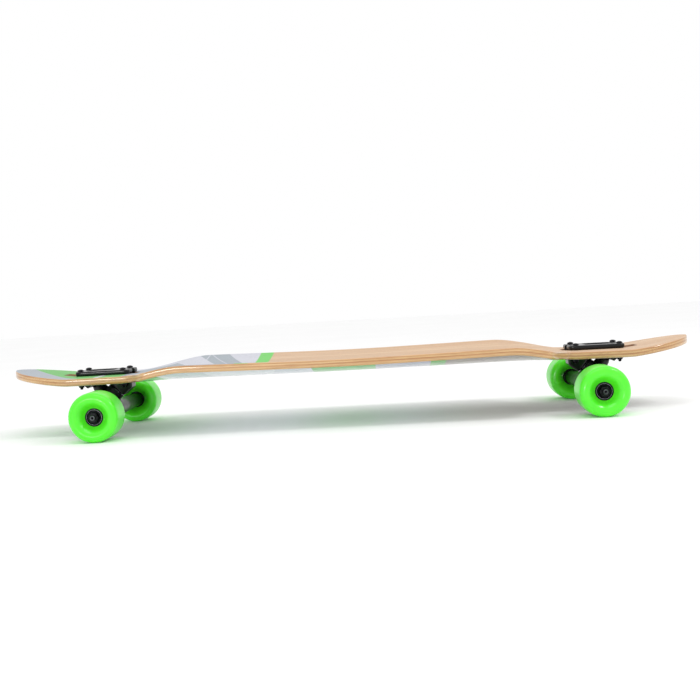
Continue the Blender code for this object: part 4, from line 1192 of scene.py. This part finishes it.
def mounting_bolt_mesh():
    seat = PLATE_TOP + GAP
    top = seat + HEAD_HEIGHT
    key = HEX_KEY_HALF
    dome = [(HEAD_RADIUS * math.cos(a), seat + 0.0009 + (HEAD_HEIGHT - 0.0009) * math.sin(a))
            for a in (math.radians(9.0 * k) for k in range(8))]
    head = [(0, seat), (HEAD_RADIUS - 0.0002, seat), (HEAD_RADIUS, seat + 0.0002), *dome,
            (key / math.cos(math.pi / 6) + 0.0002, top - 0.00005), (0.01, top - 0.0003, key),
            (0.01, top - 0.0017, key), (0, top - 0.0017)]
    plain = [(0, MOUNT_NUT_HIGH + 0.002), (BOLT_RADIUS - 0.0002, MOUNT_NUT_HIGH + 0.002),
             (BOLT_RADIUS, MOUNT_NUT_HIGH + 0.0024), (BOLT_RADIUS, seat + 0.0002), (0, seat + 0.0002)]
    screw = thread(BOLT_RADIUS - 0.00005, 0.0008, BOLT_LOW, MOUNT_NUT_HIGH + 0.0025, 0.00035)
    mesh = mesh_of("mounting_bolt", turned(head, sides=48), turned(plain, sides=24), screw)
    return with_finish(mesh, BLACK_STEEL)


mounting_bolt = mounting_bolt_mesh()
mounting_nut = lock_nut("mounting_nut", MOUNT_NUT_FLATS, BOLT_RADIUS + 0.0001, 0.0,
                        MOUNT_NUT_HIGH - MOUNT_NUT_LOW, BLACK_STEEL)
for end in ENDS:
    for number, spot in enumerate(bolt_frames(end), 1):
        tag = f"{end}_{number}"
        place(mounting_bolt, "mounting_bolt_" + tag, spot, "board", "black_steel", "mount_bolt_" + tag)
        under = Matrix.Translation((0, 0, MOUNT_NUT_HIGH)) @ Matrix.Rotation(math.pi, 4, "X")
        place(mounting_nut, "mounting_lock_nut_" + tag, spot @ under, "board", "black_steel",
              "mount_nut_" + tag)

# ---- floor, light and camera ----------------------------------------------------------------
# A plain near-white floor under an even white sky, with a broad panel overhead, a small one high
# at the front truck's end and a low one in front.  The camera stands a little above the deck.
FLOOR_HALF = 6.0


def floor_piece():
    material, tree, shader = finish("pale_floor", Roughness=0.9, Specular_IOR_Level=0.1)
    cloud = noise(tree, (3.0, 3.0, 3.0), 2.0)
    tree.links.new(lay(tree, between(tree, cloud, 0.0, 1.0), tint(250, 250, 250), tint(252, 252, 252)),
                   shader.inputs["Base Color"])
    half = FLOOR_HALF
    corners = [(-half, -half), (half, -half), (half, half), (-half, half)]
    mesh = with_finish(mesh_of("floor", slab(corners, -0.02, 0.0)), material)
    floor = bpy.data.objects.new("floor", mesh)
    bpy.context.scene.collection.objects.link(floor)
    floor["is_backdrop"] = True


def panel_light(name, spot, aim, size, power):
    lamp = bpy.data.lights.new(name, "AREA")
    lamp.shape, lamp.size, lamp.size_y, lamp.energy = "RECTANGLE", *size, power
    holder = bpy.data.objects.new(name, lamp)
    bpy.context.scene.collection.objects.link(holder)
    holder.location = spot
    holder.rotation_euler = (Vector(aim) - Vector(spot)).to_track_quat("-Z", "Y").to_euler()


floor_piece()
sky = bpy.data.worlds.new("studio")
sky.use_nodes = True
sky.node_tree.nodes["Background"].inputs["Color"].default_value = (1.0, 1.0, 1.0, 1.0)
sky.node_tree.nodes["Background"].inputs["Strength"].default_value = 1.0
bpy.context.scene.world = sky
panel_light("overhead", (0.0, -0.5, 1.5), (0.0, 0.0, 0.0), (1.0, 0.4), 3.0)
panel_light("right_high", (1.35, -0.45, 1.5), (0.35, -0.1, 0.05), (0.3, 0.45), 6.5)
panel_light("front_low", (-0.75, -1.7, 0.22), (-0.2, 0.0, 0.05), (0.5, 0.18), 5.0)
bpy.context.scene.view_settings.view_transform = "Standard"

CAMERA_SPOT = (0.0563, -1.4553, 0.1828)
CAMERA_TURN, CAMERA_DIP, CAMERA_ROLL = (math.radians(a) for a in (2.063, 3.157, 3.174))
camera = bpy.data.objects.new("camera", bpy.data.cameras.new("camera"))
camera.data.lens, camera.data.sensor_width = 50.0, 36.0
bpy.context.scene.collection.objects.link(camera)
camera.matrix_world = (Matrix.Translation(CAMERA_SPOT) @ Matrix.Rotation(CAMERA_TURN, 4, "Z")
                       @ Matrix.Rotation(math.pi / 2 - CAMERA_DIP, 4, "X")
                       @ Matrix.Rotation(-CAMERA_ROLL, 4, "Z"))
bpy.context.scene.camera = camera

low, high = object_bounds()
